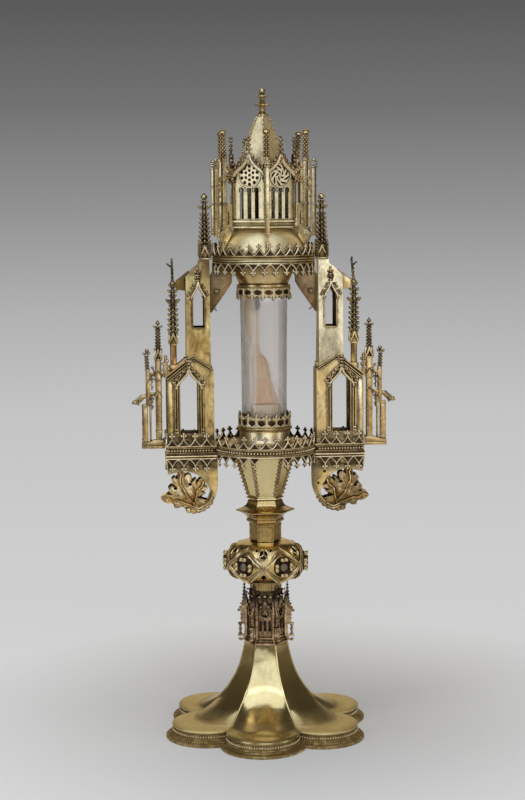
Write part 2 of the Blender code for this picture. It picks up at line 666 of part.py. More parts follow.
def make_pillars(name, material):
    """Two slender pillars beside the tower, tied at three heights, with a beast's head spout."""
    outline = [(80.8, 235.0), (83.4, 233.4), (99.4, 233.4), (99.4, 268.4), (101.6, 268.2), (106.4, 268.6)]
    outline += [(106.6, 271.2), (101.0, 274.6), (96.4, 276.4), (96.2, 300.0), (96.6, 309.0), (94.2, 314.4)]
    outline += [(92.6, 314.4), (91.4, 309.0), (92.0, 300.0), (92.0, 295.0), (88.0, 294.4), (87.6, 320.0)]
    outline += [(88.0, 332.6), (85.6, 337.2), (84.0, 337.2), (81.6, 332.6), (82.2, 320.0), (82.2, 295.0)]
    outline += [(80.4, 294.8), (80.4, 290.8), (82.4, 290.6), (83.4, 243.0), (82.4, 240.8), (80.8, 238.4)]
    pillars = finish(name, plate(outline, PILLAR_HALF_DEPTH), material)
    deep = PILLAR_HALF_DEPTH + 2
    lower_gap = box((88.4, -deep, 238.2), (93.2, deep, 271.8))
    upper_gap = box((88.2, -deep, 277.8), (92.0, deep, 290.6))
    cut(pillars, make_cutter(f"{name}_gaps", merged([lower_gap, upper_gap]), material))


def make_pinnacle(name, profile, x, material):
    """A small turned spirelet that stands at x."""
    shape = turned(profile, 8)
    bmesh.ops.translate(shape, verts=shape.verts, vec=(x, 0, 0))
    finish(name, shape, material)


def make_tall_pinnacle(name, material):
    profile = [(0, 386.2), (0.9, 385.8), (0.9, 370.4), (3.0, 367.0), (3.0, 364.4), (1.9, 361.4), (3.5, 359.8)]
    profile += [(2.1, 357.0), (2.1, 353.0), (5.8, 352.4), (5.8, 351.0), (2.6, 350.0), (3.1, 327.0), (4.2, 325.0)]
    profile += [(4.2, 319.4), (2.9, 318.0), (2.9, 301.4), (0, 301.4)]
    make_pinnacle(name, profile, TALL_PINNACLE_X, material)


def make_top_pinnacle(name, material):
    floor = UPPER_TOP + GAP
    profile = [(0, 438.2), (1.8, 437.4), (2.8, 434.8), (1.6, 431.8), (4.8, 427.2), (4.8, 425.6), (2.4, 423.8)]
    profile += [(3.2, 399.4), (4.9, 397.4), (4.9, floor), (0, floor)]
    make_pinnacle(name, profile, TOP_PINNACLE_X, material)


def make_gusset(name, material):
    """A thin triangular plate that ties the upper ring to the tower."""
    outer = UPPER_INNER - GAP
    outline = [(outer, 372.6), (38.6, 381.4), (26.6, 381.4), (24.9, 372.0), (25.2, 366.6), (41.8, 342.4)]
    finish(name, plate([*outline, (outer, 342.4)], 0.9), material)


def make_tower(side, finishes):
    """All of one tower's pieces. They are shaped on the +X side and mirrored for the left."""
    before = set(bpy.data.objects)
    make_lower_stage(f"tower_lower_{side}", finishes["gilt"])
    make_upper_stage(f"tower_upper_{side}", finishes["gilt"])
    make_cornice(f"tower_cornice_{side}", finishes["dark_gilt"])
    make_bracket(f"tower_bracket_{side}", finishes["gilt"])
    make_leaf(f"tower_leaf_{side}", finishes["pale_gilt"])
    make_pillars(f"outer_pillars_{side}", finishes["gilt"])
    make_tall_pinnacle(f"tall_pinnacle_{side}", finishes["dark_gilt"])
    make_top_pinnacle(f"top_pinnacle_{side}", finishes["dark_gilt"])
    make_gusset(f"gusset_{side}", finishes["copper"])
    if side == "left":
        for obj in set(bpy.data.objects) - before:
            obj.data.transform(Matrix.Scale(-1, 4, (1, 0, 0)))
            obj.data.flip_normals()


def main():
    clear_scene()
    finishes = make_finishes()
    turned_pieces = [make_foot(finishes["gilt"]), make_chapel(finishes["dark_gilt"])]
    turned_pieces += make_chapel_buttresses(finishes["dark_gilt"])
    turned_pieces.append(finish("knop", knop_body(), finishes["gilt"], 40))
    turned_pieces += make_rosettes(finishes["pale_gilt"])
    for piece in turned_pieces:
        turn_mesh(piece, FOOT_TURN)
    make_stem(finishes["gilt"])
    make_collar(finishes["gilt"])
    make_bowl(finishes["gilt"])
    make_gallery(finishes["gilt"])
    make_lower_mount(finishes["gilt"])
    make_glass(finishes["glass"])
    make_upper_mount(finishes["gilt"])
    make_upper_ring(finishes["gilt"])
    make_lid_rim(finishes["gilt"])
    make_dome(finishes["pale_gilt"])
    make_lantern(finishes["pale_gilt"])
    make_flyers(finishes["pale_gilt"])
    make_spire(finishes["pale_gilt"])
    make_finial(finishes["gilt"])
    for side in ("right", "left"):
        make_tower(side, finishes)


main()
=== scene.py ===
# %% [markdown]
# # A reliquary monstrance
# This script dresses a imported CAD model of a silver-gilt reliquary monstrance. The CAD gives every
# piece its place and size, and here each gets its finished shape: cast crests, crocketed pinnacles,
# pierced tracery, a curling leaf and aged gilding.

# %% Load the frame
import random
from math import atan2, cos, pi, radians, sin, sqrt, tau

import bmesh
import bpy
from mathutils import Matrix, Vector, noise


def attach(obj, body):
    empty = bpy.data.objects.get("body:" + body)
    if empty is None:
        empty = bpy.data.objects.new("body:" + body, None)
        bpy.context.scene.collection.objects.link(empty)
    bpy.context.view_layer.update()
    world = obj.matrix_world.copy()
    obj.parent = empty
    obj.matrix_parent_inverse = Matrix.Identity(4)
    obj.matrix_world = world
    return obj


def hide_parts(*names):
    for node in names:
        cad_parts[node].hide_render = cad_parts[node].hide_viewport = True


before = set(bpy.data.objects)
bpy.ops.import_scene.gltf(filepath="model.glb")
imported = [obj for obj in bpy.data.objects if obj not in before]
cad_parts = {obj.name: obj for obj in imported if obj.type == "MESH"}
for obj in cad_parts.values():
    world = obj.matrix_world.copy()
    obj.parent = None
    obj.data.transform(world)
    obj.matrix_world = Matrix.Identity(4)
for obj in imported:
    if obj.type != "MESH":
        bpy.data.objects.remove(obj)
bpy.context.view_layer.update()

print("CAD nodes:", len(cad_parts))

# %% [markdown]
# ## Units and shared sizes
# Shapes are drawn in millimetres and turned into metres when a piece is finished. The foot, chapel
# and knop sit a few degrees askew on the stem, like a piece taken apart and screwed together again.

# %% Shared sizes
MM = 0.001
SIDES = 6
SIXTH = tau / SIDES
FOOT_TURN = radians(-7.7)
STEM_TURN = radians(-3.5)
LANTERN_TURN = radians(30)
UP = Vector((0, 0, 1))

# %% [markdown]
# ## Helpers for shapes
# Nearly everything is a ring turned on a lathe, a six-sided moulding, a thin bar bent along a line,
# or a cast unit soldered on again and again. `loft` extrudes a ring of edges from one outline to the
# next, `turned` spins a profile, `rod` sweeps a section along a line, `stamp` adds a copy of a cast
# unit, and `around` sets copies round the axis.

# %% Shape helpers


def picked(items, kind):
    return [item for item in items if isinstance(item, kind)]


def face_outwards(shape):
    bmesh.ops.recalc_face_normals(shape, faces=shape.faces)


def mesh_of(shape, name="unit"):
    """Turns a bmesh into a mesh and uses it up."""
    mesh = bpy.data.meshes.new(name)
    shape.to_mesh(mesh)
    shape.free()
    return mesh


def placed(name, data):
    """Puts an object into the scene."""
    made = bpy.data.objects.new(name, data)
    bpy.context.scene.collection.objects.link(made)
    return made


def loft(rings, ends=True):
    """A skin that starts as a circle and is extruded through each ring of points."""
    shape = bmesh.new()
    first = bmesh.ops.create_circle(shape, segments=len(rings[0]), radius=1)["verts"]
    order = {vert: i for i, vert in enumerate(first)}
    for vert, i in order.items():
        vert.co = rings[0][i]
    edges = shape.edges[:]
    if ends:
        bmesh.ops.contextual_create(shape, geom=edges)
    for points in rings[1:]:
        grown = bmesh.ops.extrude_edge_only(shape, edges=edges)["geom"]
        edges = picked(grown, bmesh.types.BMEdge)
        fresh = {}
        for vert in picked(grown, bmesh.types.BMVert):
            source = next(v for v in (e.other_vert(vert) for e in vert.link_edges) if v in order)
            fresh[vert] = order[source]
        for vert, i in fresh.items():
            vert.co = points[i]
        order = fresh
    if ends:
        bmesh.ops.contextual_create(shape, geom=edges)
    face_outwards(shape)
    return shape


def polygon(radius, z, sides=SIDES, turn=0.0):
    angles = [turn + tau * i / sides for i in range(sides)]
    return [(radius * cos(angle), radius * sin(angle), z) for angle in angles]


def stacked(profile, sides=SIDES, turn=0.0):
    """A body of stacked polygons, from (corner radius, z)."""
    return loft([polygon(radius, z, sides, turn) for radius, z in profile])


def turned(profile, steps=48, ring=False):
    """A body turned on the lathe from (radius, z). A ring's profile closes on itself."""
    shape = bmesh.new()
    verts = [shape.verts.new((radius, 0, z)) for radius, z in profile]
    edges = [shape.edges.new(pair) for pair in zip(verts, verts[1:])]
    if ring:
        edges.append(shape.edges.new((verts[-1], verts[0])))
    bmesh.ops.spin(shape, geom=verts + edges, cent=(0, 0, 0), axis=UP, angle=tau, steps=steps, use_merge=True)
    bmesh.ops.remove_doubles(shape, verts=shape.verts, dist=0.001)
    face_outwards(shape)
    return shape


def one_each(value, count):
    return value if isinstance(value, (list, tuple)) else [value] * count


def rod(points, width, depth=None, sides=6, across=(0, 1, 0)):
    """A bar along a line. width lies in the plane of the line, depth along `across`; both may be lists."""
    points = [Vector(point) for point in points]
    across = Vector(across)
    count = len(points)
    widths = one_each(width, count)
    depths = widths if depth is None else one_each(depth, count)
    square = sides == 4
    first = pi / 4 if square else 0.0
    scale = sqrt(2) if square else 1.0
    rings = []
    for i, point in enumerate(points):
        along = (points[min(i + 1, count - 1)] - points[max(i - 1, 0)]).normalized()
        side = along.cross(across).normalized()
        deep = side.cross(along)
        wide, thick = widths[i], depths[i]
        angles = [first + tau * k / sides for k in range(sides)]
        rings.append([
            point + side * (cos(angle) * wide / 2 * scale) + deep * (sin(angle) * thick / 2 * scale)
            for angle in angles
        ])
    return loft(rings)


def block(x, y, z, soften=0.0):
    """A box with softened edges. A side is (low, high), or one number for both ways from the middle."""
    spans = [side if isinstance(side, tuple) else (-side, side) for side in (x, y, z)]
    low, high = (Vector(corner) for corner in zip(*spans))
    shape = bmesh.new()
    bmesh.ops.create_cube(shape, size=1.0)
    bmesh.ops.scale(shape, verts=shape.verts, vec=high - low)
    bmesh.ops.translate(shape, verts=shape.verts, vec=(low + high) / 2)
    if soften:
        soften_edges(shape, soften)
    return shape


def ball(at, size, detail=1):
    """A small solid drop; size is a radius or three of them."""
    shape = bmesh.new()
    bmesh.ops.create_icosphere(shape, subdivisions=detail, radius=1.0)
    bmesh.ops.scale(shape, verts=shape.verts, vec=one_each(size, 3))
    bmesh.ops.translate(shape, verts=shape.verts, vec=at)
    return shape


def thicken(shape, faces, along):
    """Extrudes faces and moves the copy along a vector."""
    grown = bmesh.ops.extrude_face_region(shape, geom=faces)["geom"]
    bmesh.ops.translate(shape, verts=picked(grown, bmesh.types.BMVert), vec=along)


def plate(outline, thick, y=0.0, soften=0.0):
    """A flat sheet from an (x, z) outline, thick along Y and centred on y."""
    shape = bmesh.new()
    verts = [shape.verts.new((x, y - thick / 2, z)) for x, z in outline]
    thicken(shape, [shape.faces.new(verts)], (0, thick, 0))
    face_outwards(shape)
    if soften:
        soften_edges(shape, soften)
    return shape


def soften_edges(shape, width, least=radians(25)):
    """Rounds every edge that turns by more than `least`."""
    sharp = [edge for edge in shape.edges if edge.is_manifold and edge.calc_face_angle() > least]
    bmesh.ops.bevel(
        shape, geom=sharp, offset=width, segments=2, profile=0.5, affect="EDGES", material=-1,
        clamp_overlap=True,
    )


def as_mesh(shape):
    """Keeps a bmesh as a mesh that can be stamped many times."""
    face_outwards(shape)
    return mesh_of(shape)


def stamp(target, unit, matrix=None):
    """Adds one copy of a unit to a bmesh."""
    copy = unit.copy()
    if matrix is not None:
        copy.transform(matrix)
        if matrix.determinant() < 0:
            copy.flip_normals()
    target.from_mesh(copy)
    bpy.data.meshes.remove(copy)


def add(target, *shapes, matrix=None):
    """Adds finished shapes to a bmesh and uses them up."""
    for shape in shapes:
        unit = as_mesh(shape)
        stamp(target, unit, matrix)
        bpy.data.meshes.remove(unit)
    return target


def drop(target, *drawn):
    """Adds one small solid drop."""
    return add(target, ball(*drawn))


def lay(target, *drawn, **more):
    """Adds one bar."""
    return add(target, rod(*drawn, **more))


def slab(target, *drawn):
    """Adds one box."""
    return add(target, block(*drawn))


def at(x=0.0, y=0.0, z=0.0):
    return Matrix.Translation((x, y, z))


def spin_by(angle):
    return Matrix.Rotation(angle, 4, "Z")


def lean_by(angle):
    return Matrix.Rotation(angle, 4, "Y")


def scaled(x, y=None, z=None):
    return Matrix.Diagonal((x, x if y is None else y, x if z is None else z, 1))


def around(target, unit, turn=0.0, count=SIDES, place=Matrix()):
    """Stamps a unit, or a shape that is used up, at even steps round the axis."""
    if isinstance(unit, bmesh.types.BMesh):
        unit = as_mesh(unit)
    for i in range(count):
        stamp(target, unit, spin_by(turn + tau / count * i) @ place)
    return target


def ring_of(unit, turn=0.0, count=SIDES, place=Matrix()):
    """A new shape of copies round the axis."""
    return around(bmesh.new(), unit, turn, count, place)


def round_axis(angle, radius, z):
    """Stands a unit on a ring: its X runs round the ring and its Y points outwards."""
    return spin_by(angle - pi / 2) @ at(0, radius, z)


def curved(points, steps):
    """A smooth line (Catmull-Rom) through points of any dimension."""
    line = []
    last = len(points) - 1
    for i in range(last):
        before, here, there, after = (points[max(min(k, last), 0)] for k in (i - 1, i, i + 1, i + 2))
        for k in range(steps):
            t = k / steps
            line.append(tuple(
                b + 0.5 * ((c - a) * t + (2 * a - 5 * b + 4 * c - d) * t**2 + (3 * b - a - 3 * c + d) * t**3)
                for a, b, c, d in zip(before, here, there, after)
            ))
    return [*line, tuple(points[-1])]


def arc(centre, radius, start, end, steps):
    """Points (x, z) along an arc, in degrees."""
    turns = [radians(start + (end - start) * i / steps) for i in range(steps + 1)]
    return [(centre[0] + radius * cos(turn), centre[1] + radius * sin(turn)) for turn in turns]


def both_ways(right):
    """An outline (x, z) from its right half."""
    return [*right, *((-x, z) for x, z in reversed(right))]


def flat(points, y=0.0):
    """(x, z) points stood up in the XZ plane."""
    return [(x, y, z) for x, z in points]


print("shape helpers ready")

# %% [markdown]
# ## Finishing a piece
# `finish` scales a piece to metres, turns its faces outwards, tells smooth and sharp edges apart by
# angle and ties it to the frame, so a piece can't be left riding on nothing.

# %% Finish a piece


def finish(name, shape, material, nodes, smooth=35):
    """Makes the named piece from a bmesh in millimetres and lets it stand for CAD nodes."""
    bmesh.ops.scale(shape, verts=shape.verts, vec=(MM, MM, MM))
    face_outwards(shape)
    mesh = mesh_of(shape, name)
    mesh.materials.append(material)
    mesh.shade_smooth()
    mesh.set_sharp_from_angle(angle=radians(smooth))
    piece = placed(name, mesh)
    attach(piece, "root")
    if nodes:
        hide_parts(*nodes)
    mesh.calc_loop_triangles()
    print(f"{name}: {len(mesh.loop_triangles)} triangles")
    return piece


def six_nodes(name):
    """The CAD names of a part that comes six times."""
    return [f"{name}_{i + 1}" for i in range(SIDES)]


def carve(shape, cutter):
    """Cuts one closed body out of another and gives back what is left."""
    solid, tool = placed("solid", as_mesh(shape)), placed("tool", as_mesh(cutter))
    boolean = solid.modifiers.new("cut", "BOOLEAN")
    boolean.object = tool
    left = bmesh.new()
    left.from_object(solid, bpy.context.evaluated_depsgraph_get())
    for obj in (solid, tool):
        bpy.data.objects.remove(obj)
    return left


# %% [markdown]
# ## Old gilding
# Fire-gilded silver is a pale, warm gold where hands have polished it, greyer where it has worn thin,
# and brown in the hollows, where dirt sits and where shade is painted. One recipe makes every metal:
# slow noises drift between two golds, ambient occlusion finds the hollows and browns and roughens them,
# painting their shade along with their dirt, a fine noise adds specks, and a bump adds low hammer dents.
# Closed spaces can be painted dark within as shade, and the surface beyond a given height darkened in
# patches like a hollow.

# %% Metal finishes
TREES = []  # every node tree as it is started: new nodes go into the last one


def fill(made, inputs):
    """Sets a node's inputs; an input takes a value or another node's output."""
    for key, value in inputs.items():
        if isinstance(value, bpy.types.NodeSocket):
            made.id_data.links.new(value, made.inputs[key])
        else:
            made.inputs[key].default_value = value


def node(kind, inputs=None, **settings):
    """Adds a shader node with its settings and inputs."""
    made = TREES[-1].nodes.new("ShaderNode" + kind)
    for key, value in settings.items():
        setattr(made, key, value)
    fill(made, inputs or {})
    return made


def maths(operation, *values, **settings):
    """One sum of values and outputs."""
    return node("Math", dict(enumerate(values)), operation=operation, **settings).outputs[0]


def mixed(factor, first, second, blend="MIX"):
    """Mixes two colours; each may be a plain (r, g, b) or an output."""
    values = {0: factor}
    for key, colour in ((6, first), (7, second)):
        values[key] = colour if isinstance(colour, bpy.types.NodeSocket) else (*colour, 1)
    return node("Mix", values, data_type="RGBA", blend_type=blend).outputs[2]


def ranged(value, low, high, to_low=0.0, to_high=1.0):
    """Stretches a value from one range to another, held at its ends."""
    places = {"Value": value, "From Min": low, "From Max": high, "To Min": to_low, "To Max": to_high}
    return node("MapRange", places).outputs[0]


def noise_of(place, scale, detail=3, rough=0.55, twist=0.0):
    values = {"Vector": place, "Scale": scale, "Detail": detail, "Roughness": rough, "Distortion": twist}
    return node("TexNoise", values).outputs[0]


def height_of(place):
    return node("SeparateXYZ", {0: place}).outputs["Z"]


def closeness(distance, samples):
    """How open the surface is within a distance: 1 in the open, 0 in a hollow."""
    inputs = {"Distance": distance * MM}
    return node("AmbientOcclusion", inputs, samples=samples, only_local=True).outputs["AO"]


def bump_of(height, distance, strength, **more):
    values = {"Height": height, "Distance": distance * MM, "Strength": strength, **more}
    return node("Bump", values).outputs[0]


def new_finish(name):
    """Starts a material, and gives its shader and its object coordinates."""
    made = bpy.data.materials.new(name)
    made.use_nodes = True
    TREES.append(made.node_tree)
    return made, made.node_tree.nodes["Principled BSDF"], node("TexCoord").outputs["Object"]


def darker(colour, share):
    return tuple(share * part for part in colour)


# heights between which the painted dark band low on the sheet begins and ends, near the spot and far from it
PLATE_Z = 12
SHADE_BAND_FROM = (13.4, 14.6)
SHADE_BAND_UNTIL, SHADE_BAND_NEAR, SHADE_BAND_FAR = 17, 19, 27


def gilding(name, light, worn, recess, gloss=(0.24, 0.42), depth=2.4, dents=0.25, shade_and_dirt=1.0, stretch=1,
            darkening_heights=None, inside=0, stains=0.35, matte=None, shine_and_shade_spot=None):
    """Aged gilding from two golds and the brown of its hollows, which is soiling and painted shade.

    depth is how wide a hollow is browned, with its own soiling and its painted shade, grime two
    heights between which the surface turns from patchily dark, as a hollow, to clean, inside the depth
    of a closed space that is painted dark within as shade, stains how strong the large brown stains are,
    rubbed the (x, y, near, far) of a spot round which a painted dark band runs low on the sheet, for the
    darker reflection there, weaker near the spot, matte two heights between which the sheet round that
    spot turns shiny, and stretch below 1 draws the pattern upwards.
    """
    made, shader, still = new_finish(name)
    place = still
    if stretch != 1:
        place = node("Mapping", {"Vector": still, "Scale": (1, 1, stretch)}).outputs[0]
    drift = ranged(noise_of(place, 55, 4, 0.6, 0.6), 0.38, 0.66)
    patch_of = ranged(noise_of(place, 170, 5, 0.65, 1), 0.45, 0.72)
    speck = ranged(noise_of(place, 1400, 2, 0.7), 0.6, 0.74)
    # Hollows found by ambient occlusion are browned: painted shade together with their dirt.
    shade = ranged(closeness(depth, 6), 0.35, 0.95, shade_and_dirt, 0)
    colour = mixed(drift, light, worn)
    colour = mixed(maths("MULTIPLY", patch_of, stains), colour, recess)
    shade_and_dirt_mask = maths("MULTIPLY_ADD", shade, patch_of, shade)
    shade_and_dirt_mask = maths("MULTIPLY", shade_and_dirt_mask, 0.85, use_clamp=True)
    # Beyond a given height the surface is darkened in patches, as a hollow is.
    if darkening_heights:
        zone = ranged(height_of(still), darkening_heights[0] * MM, darkening_heights[1] * MM, 1, 0)
        cloud = ranged(noise_of(still, 210, 4, 0.65, 0.5), 0.32, 0.55, 0.35, 1)
        shade_and_dirt_mask = maths("MAXIMUM", shade_and_dirt_mask, maths("MULTIPLY", zone, cloud))
    # A painted dark band low on the sheet, weaker near the spot, for the darker reflection there.
    if shine_and_shade_spot:
        spot = (shine_and_shade_spot[0] * MM, shine_and_shade_spot[1] * MM, PLATE_Z * MM)
        apart = node("VectorMath", {0: still, 1: spot}, operation="DISTANCE").outputs["Value"]
        away = ranged(apart, shine_and_shade_spot[2] * MM, shine_and_shade_spot[3] * MM)
        brown = ranged(away, 0, 1, 0.42, 0.66)
        height = height_of(still)
        above = ranged(height, SHADE_BAND_FROM[0] * MM, SHADE_BAND_FROM[1] * MM, ranged(away, 0, 1, 1, 0), 1)
        limit = ranged(away, 0, 1, SHADE_BAND_NEAR * MM, SHADE_BAND_FAR * MM)
        for part in (above, ranged(height, SHADE_BAND_UNTIL * MM, limit, 1, 0)):
            brown = maths("MULTIPLY", brown, part)
        shade_and_dirt_mask = maths("MAXIMUM", shade_and_dirt_mask, brown)
    # Closed spaces are painted dark within: painted shade.
    if inside:
        within = ranged(closeness(inside, 4), 0.18, 0.42, 1, 0)
        shade_and_dirt_mask = maths("MAXIMUM", shade_and_dirt_mask, within)
    colour = mixed(shade_and_dirt_mask, colour, recess)
    if inside:
        colour = mixed(within, colour, darker(recess, 0.25))
    colour = mixed(maths("MULTIPLY", speck, 0.4), colour, darker(recess, 0.4))
    dull = ranged(shade_and_dirt_mask, 0, 1, 0, 0.22)
    polish = ranged(noise_of(place, 120, 4, 0.6), 0.3, 0.7, *gloss)
    rough = maths("ADD", polish, dull)
    if matte:
        zone = ranged(height_of(still), matte[0] * MM, matte[1] * MM, 0.34, 0)
        rough = maths("ADD", rough, maths("MULTIPLY", zone, away))
    metal = ranged(shade_and_dirt_mask, 0.3, 1, 1, 0.62)
    waves = bump_of(noise_of(place, 60, 2, 0.5), dents, 0.8)
    grain = bump_of(noise_of(place, 900, 3, 0.6), 0.03, 0.5, Normal=waves)
    fill(shader, {"Base Color": colour, "Roughness": rough, "Metallic": metal, "Normal": grain})
    return made


GILT = gilding("gilt", (0.78, 0.59, 0.28), (0.55, 0.4, 0.17), (0.1, 0.055, 0.022), (0.16, 0.28), shade_and_dirt=1.4)
PALE = gilding("pale_gilt", (0.92, 0.77, 0.45), (0.74, 0.58, 0.31), (0.15, 0.09, 0.04), (0.18, 0.32))
# The foot: a painted dark band low on the trumpet round a spot at its front, for the darker reflection there,
# and its rim darkened in patches below a height.
SHEET = gilding(
    "foot_gilt", (0.88, 0.73, 0.38), (0.8, 0.64, 0.31), (0.27, 0.17, 0.05), (0.14, 0.19), 3.6, dents=0.35,
    darkening_heights=(8.6, 9.7), stains=0.12, matte=(13.4, 15.4), shine_and_shade_spot=(-9, -67, 31, 34)
)
DARK = gilding(
    "dark_gilt", (0.82, 0.66, 0.38), (0.4, 0.3, 0.14), (0.045, 0.028, 0.013), (0.2, 0.34), 3.2, shade_and_dirt=1.8
)
CHAPEL_GILT = gilding(
    "chapel_gilt", (0.88, 0.64, 0.37), (0.36, 0.22, 0.12), (0.026, 0.013, 0.008), (0.2, 0.34), 3.4, shade_and_dirt=2.1,
    darkening_heights=(111, 102), stains=0.6
)
LEAF = gilding(
    "leaf_gilt", (0.84, 0.65, 0.34), (0.62, 0.44, 0.21), (0.11, 0.06, 0.027), (0.27, 0.38), 2.2, shade_and_dirt=1.1
)
PILLAR = gilding("pillar_gilt", (0.86, 0.66, 0.34), (0.5, 0.34, 0.16), (0.08, 0.042, 0.02), (0.22, 0.38))
HOOD_GILT = gilding(
    "hood_gilt", (0.72, 0.53, 0.3), (0.31, 0.2, 0.105), (0.022, 0.012, 0.007), (0.22, 0.36), 3.2, shade_and_dirt=2.2,
    stains=0.7
)
TIPPED_GILT = gilding(
    "tipped_gilt", (0.82, 0.66, 0.38), (0.4, 0.3, 0.14), (0.045, 0.03, 0.015), (0.2, 0.34), 3.2, shade_and_dirt=1.8,
    darkening_heights=(370, 365)
)
# A paler, cleaner copy of the gilt for small bars, beads and tips: painted highlights, so that they look lit
# whatever they face.
HIGHLIGHT_GILT = gilding(
    "painted_highlight_gilt", (1, 0.89, 0.62), (0.92, 0.77, 0.49), (0.22, 0.13, 0.06), (0.4, 0.54), 0.9, shade_and_dirt=0.5
)
# Near-black, for the dark sheets set where only shade is: painted shade.
SHADE_DARK = gilding(
    "painted_shade_dark", (0.1, 0.062, 0.034), (0.055, 0.032, 0.018), (0.016, 0.01, 0.006), (0.42, 0.6), depth=1.5
)
COPPER_GILT = gilding("copper_gilt", (0.74, 0.5, 0.24), (0.5, 0.3, 0.13), (0.1, 0.05, 0.022), (0.2, 0.34))
COPPER = gilding(
    "copper", (0.4, 0.29, 0.17), (0.26, 0.19, 0.1), (0.06, 0.035, 0.02), (0.32, 0.46), shade_and_dirt=1.6, stains=0.6
)
print("metal finishes:", [made.name for made in bpy.data.materials])

# %% [markdown]
# ## Glass
# The cylinder is old blown glass: clear, a little grey, thick enough to bend what is behind it, with
# a surface made wavy by a slow noise.

# %% Glass finish
GLASS, glass_shader, glass_place = new_finish("old_glass")
glass_clear = mixed(noise_of(glass_place, 30), (0.99, 0.955, 0.925), (0.965, 0.925, 0.9))
# The glass turns darker where its surface turns away from view: painted shade for the darker reflection at its
# sides.
glass_turn = node("LayerWeight", {"Blend": 0.5}).outputs["Facing"]
glass_painted_edges = mixed(ranged(glass_turn, 0.34, 0.72), glass_clear, (0.4, 0.365, 0.33))
glass_bump = bump_of(noise_of(glass_place, 40, 2), 0.25, 0.6)
fill(glass_shader, {
    "Transmission Weight": 1, "IOR": 1.48, "Roughness": 0.02, "Alpha": 0.7, "Base Color": glass_painted_edges,
    "Normal": glass_bump,
})
print("glass ready")

# %% [markdown]
# ## Camera, floor and light
# The camera stands a little above the middle of the object, 1.4 m away, and looks slightly down. The
# metal is all reflections, so the light is large and soft: a cloth overhead and one in front, two
# tall ones at the sides, and a grey room. The floor is a pale disc that fades into the room, so there
# is no horizon line.

# %% Camera
camera = placed("camera", bpy.data.cameras.new("camera"))
camera.data.lens = 76.5
camera.location = (-0.10719, -1.36203, 0.43007)
CAMERA_TILT = Matrix.Rotation(-0.0076, 4, "Z")
looks = Vector((0.07685, 0.99034, -0.11541)).to_track_quat("-Z", "Y")
camera.rotation_euler = (looks.to_matrix().to_4x4() @ CAMERA_TILT).to_euler()
bpy.context.scene.camera = camera
bpy.context.scene.view_settings.view_transform = "Standard"
print("camera looks from", tuple(round(part, 3) for part in camera.location))

# %% Floor
floor_shape = bmesh.new()
bmesh.ops.create_circle(floor_shape, cap_ends=True, segments=96, radius=1.2)
floor = placed("floor", mesh_of(floor_shape, "floor"))
paper, paper_shader, paper_place = new_finish("pale_paper")
from_middle = node("VectorMath", {0: paper_place}, operation="LENGTH").outputs["Value"]
# The glow is turned down round the foot of the object: a painted soft shadow on the floor.
painted_shadow_middle = node("VectorMath", {0: paper_place, 1: (0.03, 0.02, 0)}, operation="DISTANCE")
glow = ranged(painted_shadow_middle.outputs["Value"], 0.07, 0.34, 0.14, 0.385)
fill(paper_shader, {
    "Base Color": (0.63, 0.605, 0.58, 1), "Roughness": 0.9, "Emission Color": (0.96, 0.98, 1, 1),
    "Emission Strength": glow, "Alpha": ranged(from_middle, 0.18, 0.75, 1, 0),
})
floor.data.materials.append(paper)
print("floor ready")

# %% Room and lights


def ramp_of(factor, stops):
    """Greys along a factor, from (place, grey)."""
    ramp = node("ValToRGB", {"Fac": factor})
    elements = ramp.color_ramp.elements
    while len(elements) < len(stops):
        elements.new(0.5)
    for element, (place, grey) in zip(elements, stops):
        element.position = place
        element.color = (grey, grey, grey * 1.01, 1)
    return ramp.outputs[0]


def patch(place, towards, inner, outer):
    """1 in the directions within `inner` degrees of `towards`, fading to 0 at `outer`."""
    middle = tuple(Vector(towards).normalized())
    near = node("VectorMath", {0: place, 1: middle}, operation="DOT_PRODUCT").outputs["Value"]
    return ranged(near, cos(radians(outer)), cos(radians(inner)))


def make_room():
    """A grey room: what the camera sees directly, and what the metal mirrors, are set apart."""
    world = bpy.data.worlds.new("room")
    bpy.context.scene.world = world
    world.use_nodes = True
    TREES.append(world.node_tree)
    TREES[-1].nodes.clear()
    place = node("TexCoord").outputs["Generated"]
    spread = ranged(height_of(place), -0.4, 0.4)
    seen = ramp_of(spread, SEEN)
    mirrored = ramp_of(spread, DARK_ROOM)
    for towards, inner, outer, grey in CLOTHS:
        mirrored = mixed(patch(place, towards, inner, outer), mirrored, (grey, grey, grey))
    mirrored = mixed(1, mirrored, WARM_ROOM, "MULTIPLY")
    path = node("LightPath").outputs
    straight = maths("MAXIMUM", path["Is Camera Ray"], path["Is Transmission Ray"])
    light = node("Background", {"Color": mixed(straight, mirrored, seen), "Strength": 1})
    node("OutputWorld", {"Surface": light.outputs[0]})


SEEN = (
    (0, 0.64), (0.24, 0.617), (0.35, 0.552), (0.42, 0.44), (0.495, 0.288), (0.57, 0.168), (0.64, 0.103),
    (1, 0.04)
)
DARK_ROOM = ((0, 0.3), (0.25, 0.2), (0.5, 0.1), (0.7, 0.08), (1, 0.06))
CLOTHS = (
    ((0.05, 1, 0.25), 17, 22, 0.6), ((0.42, -1, -0.12), 15, 28, 0.8), ((0.88, -0.4, 0.56), 14, 30, 0.34),
    ((0, 0.42, 1), 16, 19, 1),
)
WARM_ROOM = (1, 0.85, 0.58)


def softbox(name, place, aim, size, glow):
    """A cloth light; glow is how bright it looks, so its power follows from its area."""
    lamp = bpy.data.lights.new(name, "AREA")
    lamp.shape = "RECTANGLE"
    lamp.size, lamp.size_y = size
    lamp.energy = glow * pi * size[0] * size[1]
    lamp.color = (0.89, 0.99, 1.15)
    held = placed(name, lamp)
    held.location = place
    held.rotation_euler = (Vector(aim) - Vector(place)).to_track_quat("-Z", "Y").to_euler()
    print(name, "power", round(lamp.energy, 1), "W")


